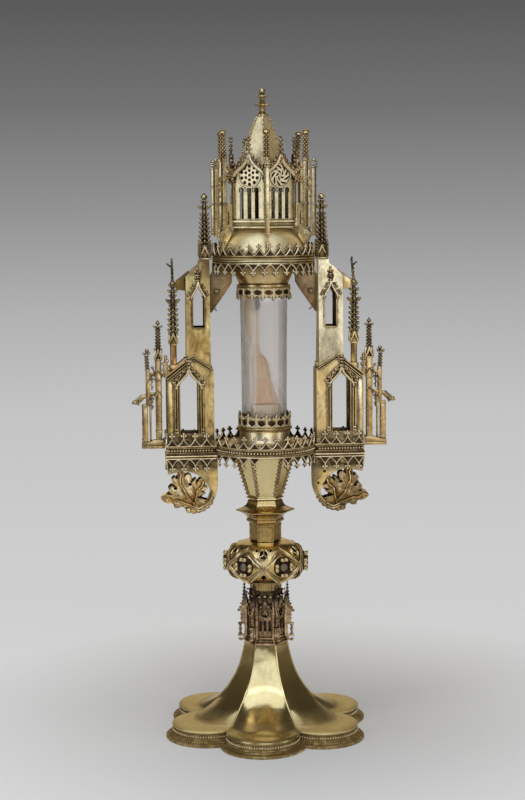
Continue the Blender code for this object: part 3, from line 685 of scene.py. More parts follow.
make_room()
MIDDLE = (0, 0, 0.26)
softbox("overhead", (-0.15, -0.55, 1.6), MIDDLE, (1.5, 1.5), 1.15)
softbox("front_cloth", (0.1, -1.55, 0.97), MIDDLE, (1.2, 1.42), 1.1)
softbox("left_cloth", (-1.5, -1, 0.95), (0, 0, 0.4), (0.8, 2.2), 1.3)
softbox("right_cloth", (1.7, -0.75, 0.5), MIDDLE, (0.5, 1.3), 1.1)

# %% [markdown]
# ## The foot
# Six round lobes of sheet sweep up into a six-sided trumpet, with a ridge between the facets. Each
# section mixes a hexagon and the lobed outline, so one loft makes sheet, rim and hollow underside. A
# slow noise nudges every point, as old hammered sheet is never quite flat.

# %% Foot sections
LOBE_CENTRE = 52.8
PLATE_LOBE = 29.5
FLANGE_LOBE = 34.5
FOOT_POINTS = 288
FOOT_NECK = 18.8
SHEET_THICK = 1


def from_lobe(angle):
    """Angle from the nearest lobe's middle."""
    return angle % SIXTH - SIXTH / 2


def lobed_radius(angle, lobe):
    """Outline of six overlapping round lobes."""
    off = from_lobe(angle)
    return LOBE_CENTRE * cos(off) + sqrt(lobe**2 - (LOBE_CENTRE * sin(off)) ** 2)


def foot_ring(ridge, share, z, lobe=PLATE_LOBE - SHEET_THICK):
    """A section between a hexagon (share 0) and the lobed outline (share 1)."""
    valley = lobed_radius(0, lobe)
    corner = ridge if share >= 1 else (ridge - valley * share) / (1 - share)
    points = []
    for i in range(FOOT_POINTS):
        angle = tau * i / FOOT_POINTS
        flat_side = corner * cos(SIXTH / 2) / cos(from_lobe(angle))
        radius = lobed_radius(angle, lobe) * share + (1 - share) * flat_side
        points.append((radius * cos(angle), radius * sin(angle), z))
    return points


TRUMPET = curved([
    (17.4, 0, 72.4), (FOOT_NECK, 0, 65), (21.2, 0, 55.5), (24.2, 0, 47.2), (28.2, 0, 39.6), (34.3, 0.06, 30.8),
    (42, 0.24, 22.2), (49.5, 0.56, 14.3), (53.6, 0.84, 12.4),
], 5)
FOOT_RIM = [
    (28.6, 12), (29.4, 11.5), (29.7, 10.8), (29.4, 10.1), (28.3, 9.8), (28.3, 9), (29.3, 8.8), (29.3, 8.3),
    (28.8, 8.1), (28.8, 5.9), (29.3, 5.6), (30.3, 5.3), (30.6, 4.7), (30.3, 4.2), (31, 3.8), (31.9, 3.2),
    (31.7, 2.6), (34.1, 2.3), (34.5, 1.9), (34.5, 0.5), (34.1, 0), (27.2, 0), (27.2, 9.2),
]


def dent(shape, size, amount, keep_above=-1e9):
    """Moves the points along their normals by a slow noise."""
    shape.normal_update()
    for vert in shape.verts:
        if vert.co.z > keep_above:
            vert.co += vert.normal * (noise.noise(vert.co / size) * amount)


def make_foot():
    rings = [foot_ring(*section) for section in TRUMPET]
    rings += [foot_ring(0, 1, z, lobe) for lobe, z in FOOT_RIM]
    inside = [section for section in reversed(TRUMPET) if section[1] < 0.6]
    rings += [foot_ring(r - SHEET_THICK, share * 0.85, z - 0.9, PLATE_LOBE - 2) for r, share, z in inside]
    shape = loft(rings)
    dent(shape, 16, 0.35, 12.5)
    ridge = [(radius + 0.05, 0, z + 0.1) for radius, share, z in TRUMPET[:-1]]
    around(shape, rod(ridge, 0.8, 1.5))
    shape.transform(spin_by(FOOT_TURN))
    return finish("foot_sheet", shape, SHEET, ["foot"], 30)


make_foot()

# %% [markdown]
# ## The foot's fluted edge
# Below the plate runs a band of tiny upright flutes, small drops at even steps round each lobe.

# %% Fluted band
FLUTE_LOBE = 28.9
FLUTE_PITCH = 2.1
FLUTE_Z = 7


def make_flutes():
    flute = as_mesh(ball((0, 0, 0), (0.8, 0.68, 1.15)))
    notch = lobed_radius(0, FLUTE_LOBE)
    reach = atan2(notch * sin(SIXTH / 2), notch * cos(SIXTH / 2) - LOBE_CENTRE)
    steps = round(2 * reach * FLUTE_LOBE / FLUTE_PITCH)
    shape = bmesh.new()
    for side in range(SIDES):
        for k in range(steps):
            turn = reach * (2 * (k + 0.5) / steps - 1)
            place = spin_by(SIXTH / 2 + side * SIXTH) @ at(LOBE_CENTRE) @ spin_by(turn)
            stamp(shape, flute, place @ at(FLUTE_LOBE, 0, FLUTE_Z))
    shape.transform(spin_by(FOOT_TURN))
    return finish("foot_flutes", shape, HIGHLIGHT_GILT, ["foot"], 60)


make_flutes()

# %% [markdown]
# ## Small cast ornament
# A few little cast patterns are used everywhere: a crocketed spirelet, a studded shaft, and a crest
# unit, an open arch with a leafy cross on its point. Each is modelled once and stamped many times.

# %% Spirelet and crest unit


def spirelet(low, high, width, tiers, leaf):
    """A tapering spire with crockets up its four corners and a bud on top."""
    turn = pi / 4
    reach = width / 2 / cos(turn)
    shape = stacked([(reach, low), (reach * 0.16, high - leaf)], 4, turn)
    crocket = as_mesh(ball((0, 0, 0), (leaf * 0.62, leaf * 0.5, leaf * 0.45)))
    for tier in range(tiers):
        share = (tier + 0.5) / tiers
        z = low + (high - low) * 0.9 * share
        out = reach * (1 - share * 0.84) + leaf * 0.25
        around(shape, crocket, turn, 4, at(out, 0, z) @ lean_by(-0.5))
    for z, size in ((high - leaf * 1.3, 0.75), (high - leaf * 0.4, 0.5)):
        drop(shape, (0, 0, z), (leaf * size, leaf * size, leaf * 0.42))
    return shape


def studded(low, high, wide, pitch, bud):
    """A thick pinnacle shaft set with rows of buds, by turns on its corners and on its faces."""
    shape = rod([(0, 0, low), (0, 0, high)], [wide * 0.62, wide * 0.5], None, 8)
    unit = as_mesh(ball((0, 0, 0), (bud, bud * 0.85, bud * 0.66)))
    rows = round(2 * (high - low) / pitch)
    for row in range(rows):
        share = (row + 0.5) / rows
        reach = (wide / 2 - bud * 0.3) * (1 - 0.22 * share)
        around(shape, unit, row % 2 * pi / 4, 4, at(reach, 0, low + (high - low) * share))
    return shape


def crest_unit(width, height, bar=1.25, deep=1.3):
    """A pointed arch whose legs join into one stem with a leafy cross. X runs along the band, Z up."""
    half = width / 2
    leg = [(1, 0), (0.7, 0.08), (0.34, 0.27), (0, 0.52)]
    leg = curved([(half * x, 0, height * z) for x, z in leg], 2)
    shape = rod(leg, bar, deep, 5)
    lay(shape, [(-x, y, z) for x, y, z in leg], bar, deep, 5)
    lay(shape, [(0, 0, height * 0.46), (0, 0, height * 0.95)], [bar * 1.1, bar * 0.8], deep, 5)
    for x, z, wide, tall in ((-0.16, 0.74, 0.14, 0.1), (0.16, 0.74, 0.14, 0.1), (0, 0.9, 0.12, 0.11)):
        drop(shape, (width * x, 0, height * z), (width * wide, deep * 0.6, height * tall))
    return as_mesh(shape)


def crest_shade_backing(width, height):
    """A dark sheet inside the arch of a crest unit, painted as the shade seen through it, and a dark,
    slightly larger copy just behind the unit, which darkens its back and shows round its edge as a
    painted shadow outline.
    """
    inner = [(-0.4, 0), (0.4, 0), (0.168, 0.24), (0, 0.44), (-0.168, 0.24)]
    shape = plate([(width * x, height * z) for x, z in inner], 0.5, 0.3)
    back = crest_unit(width, height, 1.7, 1)
    stamp(shape, back, at(0.4, -0.9) @ scaled(1, 1, 1.03))
    return as_mesh(shape)


def beads(shape, count, radius, z, size):
    """Adds a ring of small beads."""
    return around(shape, ball((0, 0, 0), size), -pi / 2, count, at(0, radius, z))


print("cast patterns ready")

# %% [markdown]
# ## The little chapel
# Above the foot stands a six-sided chapel the size of a thimble: in each side a window of three
# pierced lancets and a wheel of tracery under a crocketed gable, and at each corner a free-standing
# baluster, a canopy and a pinnacle. One side and one corner are modelled and set round the core.

# %% Chapel side
CHAPEL_WALL = 15
CHAPEL_FACE = CHAPEL_WALL * cos(SIXTH / 2)


def lancet(x, width, low, spring, tip, bulge=0.72):
    """Outline (x, z) of a narrow pointed opening."""
    half = width / 2
    shoulder = spring + (tip - spring) * 0.55
    arch = [(half, spring), (half * bulge, shoulder), (0, tip), (-half * bulge, shoulder), (-half, spring)]
    return [(x + across, z) for across, z in [(-half, low), (half, low), *arch]]


def chapel_side():
    y = -CHAPEL_FACE
    panel = plate([(-6.4, 80.6), (6.4, 80.6), (6.4, 99), (0, 108), (-6.4, 99)], 1.2, y - 0.4)
    cutters = bmesh.new()
    for x in (-3.7, 0, 3.7):
        add(cutters, plate(lancet(x, 2, 83.4, 90.8, 93), 4, y))
    add(cutters, plate(arc((0, 98.4), 3.6, 0, 345, 15), 4, y))
    shape = carve(panel, cutters)
    for x in (-6.2, -1.85, 1.85, 6.2):
        lay(shape, [(x, y - 1.2, 80.6), (x, y - 1.2, 93.6 if abs(x) < 6 else 99)], 0.7, 0.9)
    lay(shape, flat(arc((0, 98.4), 3.9, 0, 360, 18), y - 1.3), 0.75, 0.8)
    for k in range(3):
        turn = pi / 2 + tau * k / 3
        drop(shape, (cos(turn) * 1.9, y - 0.6, 98.4 + sin(turn) * 1.9), (0.85, 0.5, 0.85))
    gable = [(-7.4, 98), (-6, 99.6), (-3.2, 103.4), (-1, 106.8), (0, 109.2)]
    for mirror in (1, -1):
        line = [(x * mirror, y - 1.5, z) for x, z in gable]
        lay(shape, line, 1, 1.4)
        for x, _, z in line[:-1]:
            drop(shape, (x + 0.5 * -mirror, y - 1.9, z + 1), (0.8, 0.7, 0.7))
    add(shape, ball((0, y - 1.6, 110.4), (1.3, 0.9, 0.8)), ball((0, y - 1.6, 112), (0.6, 0.6, 1)))
    for x in (-8.6, 8.6):
        for wide, proud, low, high in ((1.5, 1.4, 76.4, 103.4), (1.9, 2, 97.4, 99), (1.9, 1.9, 86, 87)):
            slab(shape, (x - wide, x + wide), (y - proud, y + 1), (low, high), 0.3)
        add(shape, rod([(x, y - 1.7, 77), (x, y - 1.9, 86)], 1.3), rod([(x, y - 1.7, 88), (x, y - 1.7, 97)], 1))
        tail = [(x, y - 0.2, 76.6), (x, y - 1.2, 73), (x, y - 1.4, 68.6), (x, y - 0.4, 66.6)]
        lay(shape, tail, [3.2, 2.6, 2.4, 1], 2.2)
        add(shape, spirelet(103.2, 113.6, 2.6, 3, 0.8), matrix=at(x, y - 0.4, 0))
    for x, z, wide in ((0, 115, 3.4), (-7, 115.6, 2.4), (7, 115.6, 2.4), (0, 111.6, 5)):
        lay(shape, [(x - wide, y + 0.6, z), (x + wide, y + 0.6, z)], 0.8, 1.2, across=(0, 1, 0))
    return as_mesh(shape)


# %% Chapel corner and body


def baluster(low, high, width):
    """A turned colonnette with a base, a belly and a cap."""
    profile = [(0, 1), (0.5, 1), (0.5, 0.9), (0.3, 0.86), (0.34, 0.7), (0.5, 0.52), (0.34, 0.34), (0.3, 0.14)]
    profile += [(0.5, 0.1), (0.5, 0), (0, 0)]
    return turned([(r * width, low + (high - low) * share) for r, share in profile], 8)


def chapel_corner():
    """Scroll, baluster, canopy and pinnacle in the XZ plane, standing outwards along X."""
    inner = CHAPEL_WALL + 0.4
    shape = block((inner, 23), 1.6, (76.2, 77.8), 0.35)
    slab(shape, (inner, 23), 1.6, (86.4, 87.6), 0.35)
    add(shape, baluster(77.8, 86.4, 3), matrix=at(21.2))
    scroll = [(inner, 0, 76.2), (17.4, 0, 75.6), (19, 0, 73.6), (20.6, 0, 72.6), (21.9, 0, 73.4),
        (21.4, 0, 74.7)]
    add(shape, rod(scroll, [2, 1.8, 1.5, 1.4, 1.3, 1.1], 2.4), ball((21.3, 0, 73.6), (1.5, 1.3, 1.4)))
    slab(shape, (inner, 20.6), 1.3, (87.6, 101), 0.3)
    for z in (90.6, 93.8):
        slab(shape, (inner, 21.2), 1.6, (z, z + 0.8), 0.25)
    canopy = [(inner, 96.4), (23.4, 96.9), (22.2, 98.6), (20.6, 101.2), (19.8, 104.4), (inner, 106)]
    add(shape, plate(canopy, 2.8, 0, 0.4))
    add(shape, spirelet(104, 122.6, 3.2, 6, 1.1), matrix=at(17.6))
    for z, out in ((98, 22.6), (100.4, 21.2), (103.4, 20.4)):
        drop(shape, (out, 0, z), (1.1, 1, 0.8))
    return as_mesh(shape)


def make_chapel():
    profile = [(15, 68), (17, 71.8), (18.3, 72.2), (18.5, 73), (17.8, 73.7)]
    profile += [(16.8, 74.2), (17.2, 75.4), (16, 76.2), (16.6, 77), (16.6, 78), (15.6, 78.6), (16.2, 79.4)]
    profile += [(16.2, 80.2), (13.4, 80.8), (13.4, 103), (14.8, 103.6), (14.8, 104.6), (13.9, 105.2)]
    profile += [(13.9, 110.4), (14.7, 111), (14.7, 112), (13.8, 112.6), (13.6, 114.6), (14.3, 115),
        (14.3, 115.6)]
    shape = around(stacked(profile), chapel_side())
    shape.transform(spin_by(FOOT_TURN))
    finish("chapel", shape, CHAPEL_GILT, ["chapel"])
    corners = ring_of(chapel_corner(), FOOT_TURN)
    finish("chapel_corners", corners, CHAPEL_GILT, six_nodes("chapel_buttress"))
    # Small pale drops on the chapel's fronts and tips: painted glints of light.
    painted_glints = bmesh.new()
    for out, z, wide, tall in (
        (0, 112.4, 1.2, 0.8), (4.6, 112, 1, 0.8), (0, 106.6, 0.8, 0.9), (8.6, 98.4, 1.3, 0.7),
        (8.6, 79.6, 1, 1.6), (8.6, 108.6, 0.8, 0.6), (3.4, 103.6, 0.6, 0.5),
    ):
        for x in sorted({out, -out}, reverse=True):
            drop(painted_glints, (x, -CHAPEL_FACE - 2, z), (wide, 0.6, tall))
    finish("chapel_painted_glints", ring_of(painted_glints, FOOT_TURN), HIGHLIGHT_GILT, ["chapel"])


make_chapel()

# %% [markdown]
# ## Stem and knop
# The stem is six-sided, with a bead on each edge. The knop, by which the object is held, is a
# flattened ball of pierced sheet: a turned shell with outlines cut out. Two bands follow its curve
# and swing above and below six square bosses.

# %% Stem


def stem_part(low, high, radius, turn):
    shape = stacked([(radius, low), (radius, high)])
    around(shape, rod([(radius - 0.1, 0, low + 0.1), (radius - 0.1, 0, high - 0.1)], 1.5, 1.5))
    shape.transform(spin_by(turn))
    return shape


def make_stem():
    lower = stem_part(115.3, 122.3, 12.3, FOOT_TURN)
    finish("stem_lower", lower, GILT, ["stem_lower"])
    upper = stem_part(156.7, 171.2, 12.3, STEM_TURN)
    hoop = stacked([(12.6, 168.8), (13.3, 169.2), (13.3, 170), (12.8, 170.4), (13.2, 171.2)], SIDES, STEM_TURN)
    add(upper, hoop)
    finish("stem_upper", upper, GILT, ["stem_upper"])


make_stem()

# %% Knop body
KNOP_MIDDLE = 139.4
KNOP_WHEEL = 149.2
KNOP_PROFILE = [
    (13, 122.6), (16.6, 123.2), (22.4, 125.4), (28, 129.8), (31, 135.4), (31.6, 140.6), (29.6, 146.8),
    (25.8, 151.8), (20.6, 155), (12.9, 156.4),
]
KNOP_CURVE = curved(KNOP_PROFILE, 4)


def knop_radius(z):
    """Radius of the ball at a height."""
    for (low_r, low_z), (high_r, high_z) in zip(KNOP_CURVE, KNOP_CURVE[1:]):
        if low_z <= z <= high_z:
            return low_r + (high_r - low_r) * (z - low_z) / (high_z - low_z)
    return KNOP_CURVE[-1][0]


def on_knop(x, z, proud):
    """A point on the front of the ball, or a little before or behind it."""
    return x, -sqrt((knop_radius(z) + proud) ** 2 - x**2), z


def trefoil(size):
    """A low arch with a cusp on each side."""
    foot = [(-1.15, -0.2), (-0.5, -0.1), (0, -0.75), (0.5, -0.1), (1.15, -0.2)]
    return [*arc((0, 0.35 * size), size * 0.62, 0, 180, 6), *((x * size, z * size) for x, z in foot)]


def drilled(outline, x, z):
    """A cutter along Y through the front of the ball."""
    return plate([(x + across, z + up) for across, up in outline], 16, -27)


def make_knop():
    wall = 1.3
    inner = [(radius - wall, z + wall * (0.6 if z < KNOP_MIDDLE else -0.6)) for radius, z in KNOP_CURVE]
    shell = turned([*KNOP_CURVE, *reversed(inner)], 72, ring=True)
    group = drilled(arc((0, 0), 3.3, 0, 340, 17), 0, KNOP_WHEEL + 0.1)
    add(group, drilled(trefoil(2.9), 0, 130.6))
    for x in (-5.4, 5.4):
        add(group, drilled(arc((0, 0), 1, 0, 300, 5), x, 152.2))
    shape = carve(shell, ring_of(group))
    dent(shape, 7, 0.25)
    shape.transform(spin_by(FOOT_TURN))
    finish("knop", shape, GILT, ["knop"], 40)
    # A dark turned sheet inside the ball, seen through its holes: painted shade.
    inner_shade = turned([(max(radius - 3.4, 12), z) for radius, z in KNOP_CURVE], 36)
    finish("knop_inner_shade", inner_shade, SHADE_DARK, ["knop"])
    rim = arc((0, KNOP_WHEEL), 3.9, 0, 360, 16)
    wheel = rod([on_knop(x, z, 0.3) for x, z in rim], 1.5, 1.3)
    for x, z in arc((0, KNOP_WHEEL), 3.6, 90, 330, 2):
        lay(wheel, [on_knop(0, KNOP_WHEEL, -1.6), on_knop(x, z, -0.6)], 1.1, 1.1, 5)
    shape = ring_of(wheel)
    for phase in (0, pi):
        for shift, wide, proud in ((0, 4, 0.9), (1.8, 0.9, 1.5), (-1.8, 0.9, 1.5)):
            line = []
            for k in range(121):
                angle = tau * k / 120
                swing = (3 * angle + phase) % tau / pi
                swing = 1 - abs(swing - 1) * 2
                swing = sin(swing * pi / 2) * 0.35 + swing * 0.65
                z = KNOP_MIDDLE - 0.6 + swing * 13.4 + shift
                radius = knop_radius(z) + proud - 0.35
                line.append((radius * cos(angle), radius * sin(angle), z))
            lay(shape, line, 1.3, wide, across=(0, 0, 1))
    shape.transform(spin_by(FOOT_TURN))
    finish("knop_bands", shape, PALE, ["knop"], 40)


make_knop()

# %% Knop bosses


def boss():
    """The four double petals of a square flower. It faces +Z."""
    petal = block((4.5, 7.6), 2.9, (-0.6, 2), 0.7)
    for side in (-1.75, 1.75):
        drop(petal, (6.3, side, 1.8), (1.8, 1.7, 1.1), 2)
    return as_mesh(ring_of(petal, count=4))


def make_bosses():
    # The dark turned disc under each flower shows between its petals: painted shade.
    shade_backing = [(0, 0.9), (3.5, 0.9), (3.6, 2.3), (4.1, 2.8), (4.7, 2.3), (4.8, 0.4), (7.6, 0), (8.1, -0.8),
        (8.1, -4.5), (0, -4.5)]
    disc = [(0, 2.2), (2.4, 2.1), (3.4, 1.6), (3.4, 0.4), (0, 0.4)]
    for name, unit, material, slot in (
        ("knop_bosses", boss(), PALE, "pale_gilt"),
        ("knop_boss_shade_backings", turned(shade_backing, 24), SHADE_DARK, "dark_gilt"),
        ("knop_discs", turned(disc, 20), ENAMEL, "dark_gilt"),
    ):
        shape = ring_of(unit, FOOT_TURN, place=at(31.8, 0, KNOP_MIDDLE) @ lean_by(pi / 2))
        finish(name, shape, material, six_nodes("knop_rosette"))


ENAMEL = gilding("worn_enamel", (0.36, 0.3, 0.23), (0.24, 0.2, 0.14), (0.05, 0.03, 0.02), (0.36, 0.5))
make_bosses()

# %% [markdown]
# ## Collar and bowl
# A six-pointed collar covers the join between stem and bowl. The bowl is an inverted six-sided
# pyramid of plain polished sheet, with leafy ribs on its edges. Both are stacked hexagons.

# %% Collar and bowl


def make_collar():
    profile = [(13.7, 171.6), (14.3, 172.3), (15.3, 172.8), (15.3, 174.2), (14.5, 174.8), (14.6, 175.6)]
    profile += curved([(14.9, 176.2), (17, 178.2), (19.4, 179.6), (22.8, 180.7)], 3)
    profile += [(23.9, 181.2), (24.1, 181.8), (23.4, 182.3)]
    profile += curved([(19.8, 183.4), (16.8, 185), (14.9, 187.2), (14.3, 189.2)], 3)
    shape = stacked([*profile, (13.4, 190.4)])
    dent(shape, 9, 0.2)
    finish("collar", shape, COLLAR, ["collar"], 30)


BOWL_LOW = (13.5, 193.6)
BOWL_HIGH = (23.2, 225.6)
BOWL_LEAVES = 10


def make_bowl():
    profile = [(13.4, 190.8), (14.9, 191.3), (15.2, 192), (14.9, 192.7), (13.7, 193), BOWL_LOW, (22.8, 225)]
    shape = stacked([*profile, (23.6, 226), (23.6, 234.8)])
    dent(shape, 12, 0.25)
    rib = rod(flat([BOWL_LOW, BOWL_HIGH]), 1.9, 2.2)
    for k in range(BOWL_LEAVES):
        share = (k + 0.5) / BOWL_LEAVES
        x, z = (low + (high - low) * share for low, high in zip(BOWL_LOW, BOWL_HIGH))
        drop(rib, (x + 1, 0, z), (1.25, 0.85, 0.8))
        for side in (-1.2, 1.2):
            drop(rib, (x + 0.2, side, z + 1.4), (0.8, 0.8, 1))
    finish("bowl", shape, SHEET, ["bowl"], 30)
    finish("bowl_ribs", ring_of(rib), RIB_GILT, ["bowl"], 60)


RIB_GILT = gilding("rib_gilt", (0.74, 0.54, 0.31), (0.36, 0.24, 0.13), (0.04, 0.022, 0.012), (0.22, 0.36), 2.4,
    shade_and_dirt=1.6)
COLLAR = gilding("collar_gilt", (0.7, 0.52, 0.24), (0.48, 0.34, 0.14), (0.09, 0.05, 0.02), (0.2, 0.32),
    shade_and_dirt=1.4)
make_collar()
make_bowl()

# %% [markdown]
# ## The lower gallery
# The gallery is a round tray with a hollow moulding full of beads, a crest of open arches standing
# on it and the same crest hanging below as a fringe. There was never any crest where the towers
# stand, and at the front a run of the fringe has broken off.

# %% Gallery
UNITS = 29
UNIT_WIDE = 9.1
TOWER_ARC = radians(18.5)
LOST_FRINGE = (radians(-104.5), radians(-76))
HANGING = scaled(1, 1, -1)
CREST = crest_unit(UNIT_WIDE, 9.6)
FRINGE = crest_unit(UNIT_WIDE, 8.8)
# The dark sheets behind every crest unit: painted shade.
SHADE_BACKING = crest_shade_backing(UNIT_WIDE, 9.2)


def near_tower(angle):
    return min(angle % pi, pi - angle % pi) < TOWER_ARC


def between(angle, span):
    return (angle - span[0]) % tau < span[1] - span[0]


def ragged(angle, seed):
    """A unit's own small tilt and sink, so that the ring looks soldered by hand."""
    draw = random.Random(f"{seed}{angle:.3f}")
    return Matrix.Rotation(draw.uniform(-0.09, 0.09), 4, "X") @ scaled(1, 1, draw.uniform(0.94, 1.03))


def unit_ring(name, radius, rows, count=UNITS):
    """Rings of crest units, and the dark sheets behind them that paint their shade and shadow outlines. Each
    row is (z, unit, hanging, which to skip).
    """
    bright = bmesh.new()
    black = bmesh.new()
    for z, unit, hanging, skip in rows:
        for i in range(count):
            angle = tau * (i + 0.5) / count
            if not (skip and skip(angle)):
                place = round_axis(angle, radius, z) @ ragged(angle, f"{name}{z}")
                if hanging:
                    place = place @ HANGING
                stamp(bright, unit, place)
                stamp(black, SHADE_BACKING, place)
    finish(f"{name}_crest", bright, HIGHLIGHT_GILT, [name], 70)
    finish(f"{name}_ground", black, SHADE_DARK, [name])


def make_gallery():
    profile = [(42, 237), (42.5, 236.6), (42, 236), (41.3, 235.8), (41.7, 235.2), (41.2, 234.7)]
    profile += [(40.2, 234.4), (40, 233.2), (40.2, 232), (41.2, 231.7), (41.8, 231.3), (41.3, 230.8)]
    profile += [(42, 230.4), (42.4, 229.8), (41.9, 229.2), (40.4, 229.2), (40, 235), (24.4, 235.2)]
    profile += [(24.4, 236.8), (40, 236.9)]
    shape = turned(profile, 96, ring=True)
    finish("gallery", shape, BAND, ["gallery"], 30)
    strung = beads(bmesh.new(), 102, 41, 233.2, (0.9, 0.9, 0.95))
    finish("gallery_beads", strung, HIGHLIGHT_GILT, ["gallery"])
    # A dark band deep in the groove behind the beads: painted shade.
    groove = turned([(39.6, 232), (40.35, 232), (40.35, 234.3), (39.6, 234.3)], 96, ring=True)
    finish("gallery_groove", groove, SHADE_DARK, ["gallery"])
    unit_ring("gallery", 41.6, [
        (236.9, CREST, False, near_tower),
        (229.3, FRINGE, True, lambda angle: near_tower(angle) or between(angle, LOST_FRINGE)),
    ])


CAST = gilding("cast_gilt", (0.88, 0.66, 0.33), (0.54, 0.38, 0.18), (0.06, 0.032, 0.016), (0.2, 0.34), 2.2,
    shade_and_dirt=1.15)
BAND = gilding("band_gilt", (0.98, 0.8, 0.5), (0.8, 0.62, 0.37), (0.09, 0.052, 0.026), (0.34, 0.48), 1.2,
    shade_and_dirt=1.1)
make_gallery()

# %% [markdown]
# ## Mounts of the glass
# The cylinder stands in a drum and hangs in a cone. A collar of small open leaves grips it at each
# end, before a brown band.

# %% Glass mounts


def lace_unit(width, height):
    """A leafy cross whose arms meet those of its neighbours round an oval gap."""
    half = width / 2
    shape = rod([(0, 0.3, 0), (0, 0.4, height * 0.88)], [2, 1.8], 1.2, 5)
    for side in (1, -1):
        low = [(half * side, 0, height * 0.02), (half * 0.5 * side, 0, height * 0.1), (0, 0, height * 0.22)]
        high = [(half * side, 0, height * 0.6), (half * 0.55 * side, 0, height * 0.64), (0, 0, height * 0.52)]
        add(shape, rod(low, [1, 1.3, 1.8], 1.1, 5), rod(high, [1, 1.8, 2.6], 1.4, 5))
        drop(shape, (half * 0.56 * side, 0.3, height * 0.72), (half * 0.26, 0.7, height * 0.07))
        drop(shape, (half * 0.36 * side, 0.3, height * 0.05), (half * 0.24, 0.7, height * 0.06))
    for z, wide, tall in ((0.62, 0.5, 0.09), (0.82, 0.4, 0.07), (0.93, 0.24, 0.08)):
        drop(shape, (0, 0.5, height * z), (half * wide, 0.7, height * tall))
    return as_mesh(shape)


def lace_ring(name, count, radius, z, unit, tall):
    """A collar of lace units before a brown band, with a dark, slightly larger copy behind each unit as a
    painted shadow outline, and dark ovals between the units as painted shade. A negative `tall` hangs down.
    """
    lace = bmesh.new()
    black = bmesh.new()
    eye = as_mesh(ball((0, 0, 0), (3.1, 0.5, abs(tall) * 0.28)))
    for i in range(count):
        place = round_axis(tau * i / count, radius, z) @ ragged(i, name)
        if tall < 0:
            place = place @ HANGING
        stamp(lace, unit, place)
        stamp(black, unit, place @ at(0.4, -0.5) @ scaled(1.03, 0.7, 1.03))
        stamp(black, eye, round_axis(tau * (i + 0.5) / count, radius - 0.2, z + tall * 0.4))
    finish(f"{name}_lace", lace, HIGHLIGHT_GILT, [name], 60)
    finish(f"{name}_painted_shadows", black, SHADE_DARK, [name])
    band = [(radius - 1, z), (radius - 0.3, z), (radius - 0.3, z + tall), (radius - 1, z + tall)]
    finish(f"{name}_band", turned(band, 64, ring=True), LACE_BAND, [name])


LACE_BAND = gilding("brown_gilt", (0.56, 0.41, 0.23), (0.34, 0.23, 0.12), (0.06, 0.034, 0.016), (0.26, 0.4))
# Paler than the golds round it: a painted highlight for the bright reflection of the front light on the drum.
DRUM = gilding(
    "drum_gilt", (0.96, 0.82, 0.52), (0.88, 0.72, 0.42), (0.26, 0.16, 0.07), (0.26, 0.36), 2, dents=0.6,
    stains=0.2
)
# Darker towards its top, under the ring's fringe: painted shade, with dirt.
CONE = gilding(
    "cone_gilt", (0.88, 0.69, 0.37), (0.66, 0.5, 0.25), (0.09, 0.05, 0.022), (0.2, 0.34), 2, shade_and_dirt=1.2,
    darkening_heights=(381, 372)
)


def make_lower_mount():
    drum = [(0, 249), (19.9, 249), (20.3, 247.4), (20.2, 241.2), (20.7, 240), (22.6, 238.4), (24, 237.3),
        (0, 237.3)]
    finish("mount_drum", turned(drum, 64), DRUM, ["lower_mount"], 30)
    profile = [(19.4, 249), (19.3, 252), (20.3, 252), (20.5, 251), (21.6, 250.6), (22.2, 249.8)]
    profile += [(22, 248.8), (21, 248.3), (21.3, 247.6), (20.5, 247)]
    shape = turned(profile, 64, ring=True)
    beads(shape, 60, 21.9, 249.6, (0.75, 0.7, 0.7))
    lace_ring("lower_mount", 16, 20.5, 251.2, lace_unit(8.1, 11), 8.6)
    finish("lower_mount", shape, CAST, ["lower_mount"], 40)


def make_upper_mount():
    profile = [(0, 383.4), (25, 383.4), (24.6, 380.6), (24, 377), (22.6, 372), (20.4, 367.2), (19.7, 365.7)]
    profile += [(20.6, 365.3), (21.6, 364.9), (21.8, 364), (21.2, 363.4), (21.5, 362.7), (20.9, 361.9)]
    profile += [(20.8, 360.6), (19.9, 360.6), (19.9, 364.8), (0, 364.8)]
    shape = turned(profile, 64)
    lace_ring("upper_mount", 15, 20.9, 362.4, lace_unit(8.8, 9.4), -7.6)
    finish("upper_mount", shape, CONE, ["upper_mount"], 40)


make_lower_mount()
make_upper_mount()

# %% [markdown]
# ## Glass and relic
# The cylinder is a turned wall, 1.6 mm thick, a little wider at the top. In it a relic wrapped in old
# silk stands on a small block, before a strip of parchment. The silk is a loft of wrinkled rings,
# which narrows to the knot where it is tied.

# %% Glass


def make_glass():
    profile = [(18.2, 249.3), (18.15, 280), (18.5, 320), (19, 350), (19.2, 364), (18.8, 364.4)]
    profile += [(17.8, 364.2), (17.4, 350), (16.9, 320), (16.6, 280), (16.6, 249.5), (17.4, 249.3)]
    shape = turned(profile, 96, ring=True)
    dent(shape, 30, 0.12)
    finish("glass_cylinder", shape, GLASS, ["glass_cylinder"], 50)


make_glass()

# %% Relic


def silk_finish():
    made, shader, place = new_finish("old_silk")
    wide = ranged(noise_of(place, 90, 4, 0.6, 1.2), 0.35, 0.65)
    colour = mixed(wide, (0.96, 0.62, 0.44), (0.94, 0.72, 0.4))
    flowers = ranged(noise_of(place, 260, 3, 0.6), 0.55, 0.66)
    colour = mixed(flowers, colour, (0.98, 0.8, 0.7))
    threads = noise_of(place, 1500, 2)
    colour = mixed(ranged(threads, 0.35, 0.7, 0, 0.25), colour, (0.6, 0.4, 0.26))
    weave = bump_of(threads, 0.2, 0.6)
    fill(shader, {"Base Color": colour, "Roughness": 0.62, "Sheen Weight": 0.3, "Normal": weave})
    return made


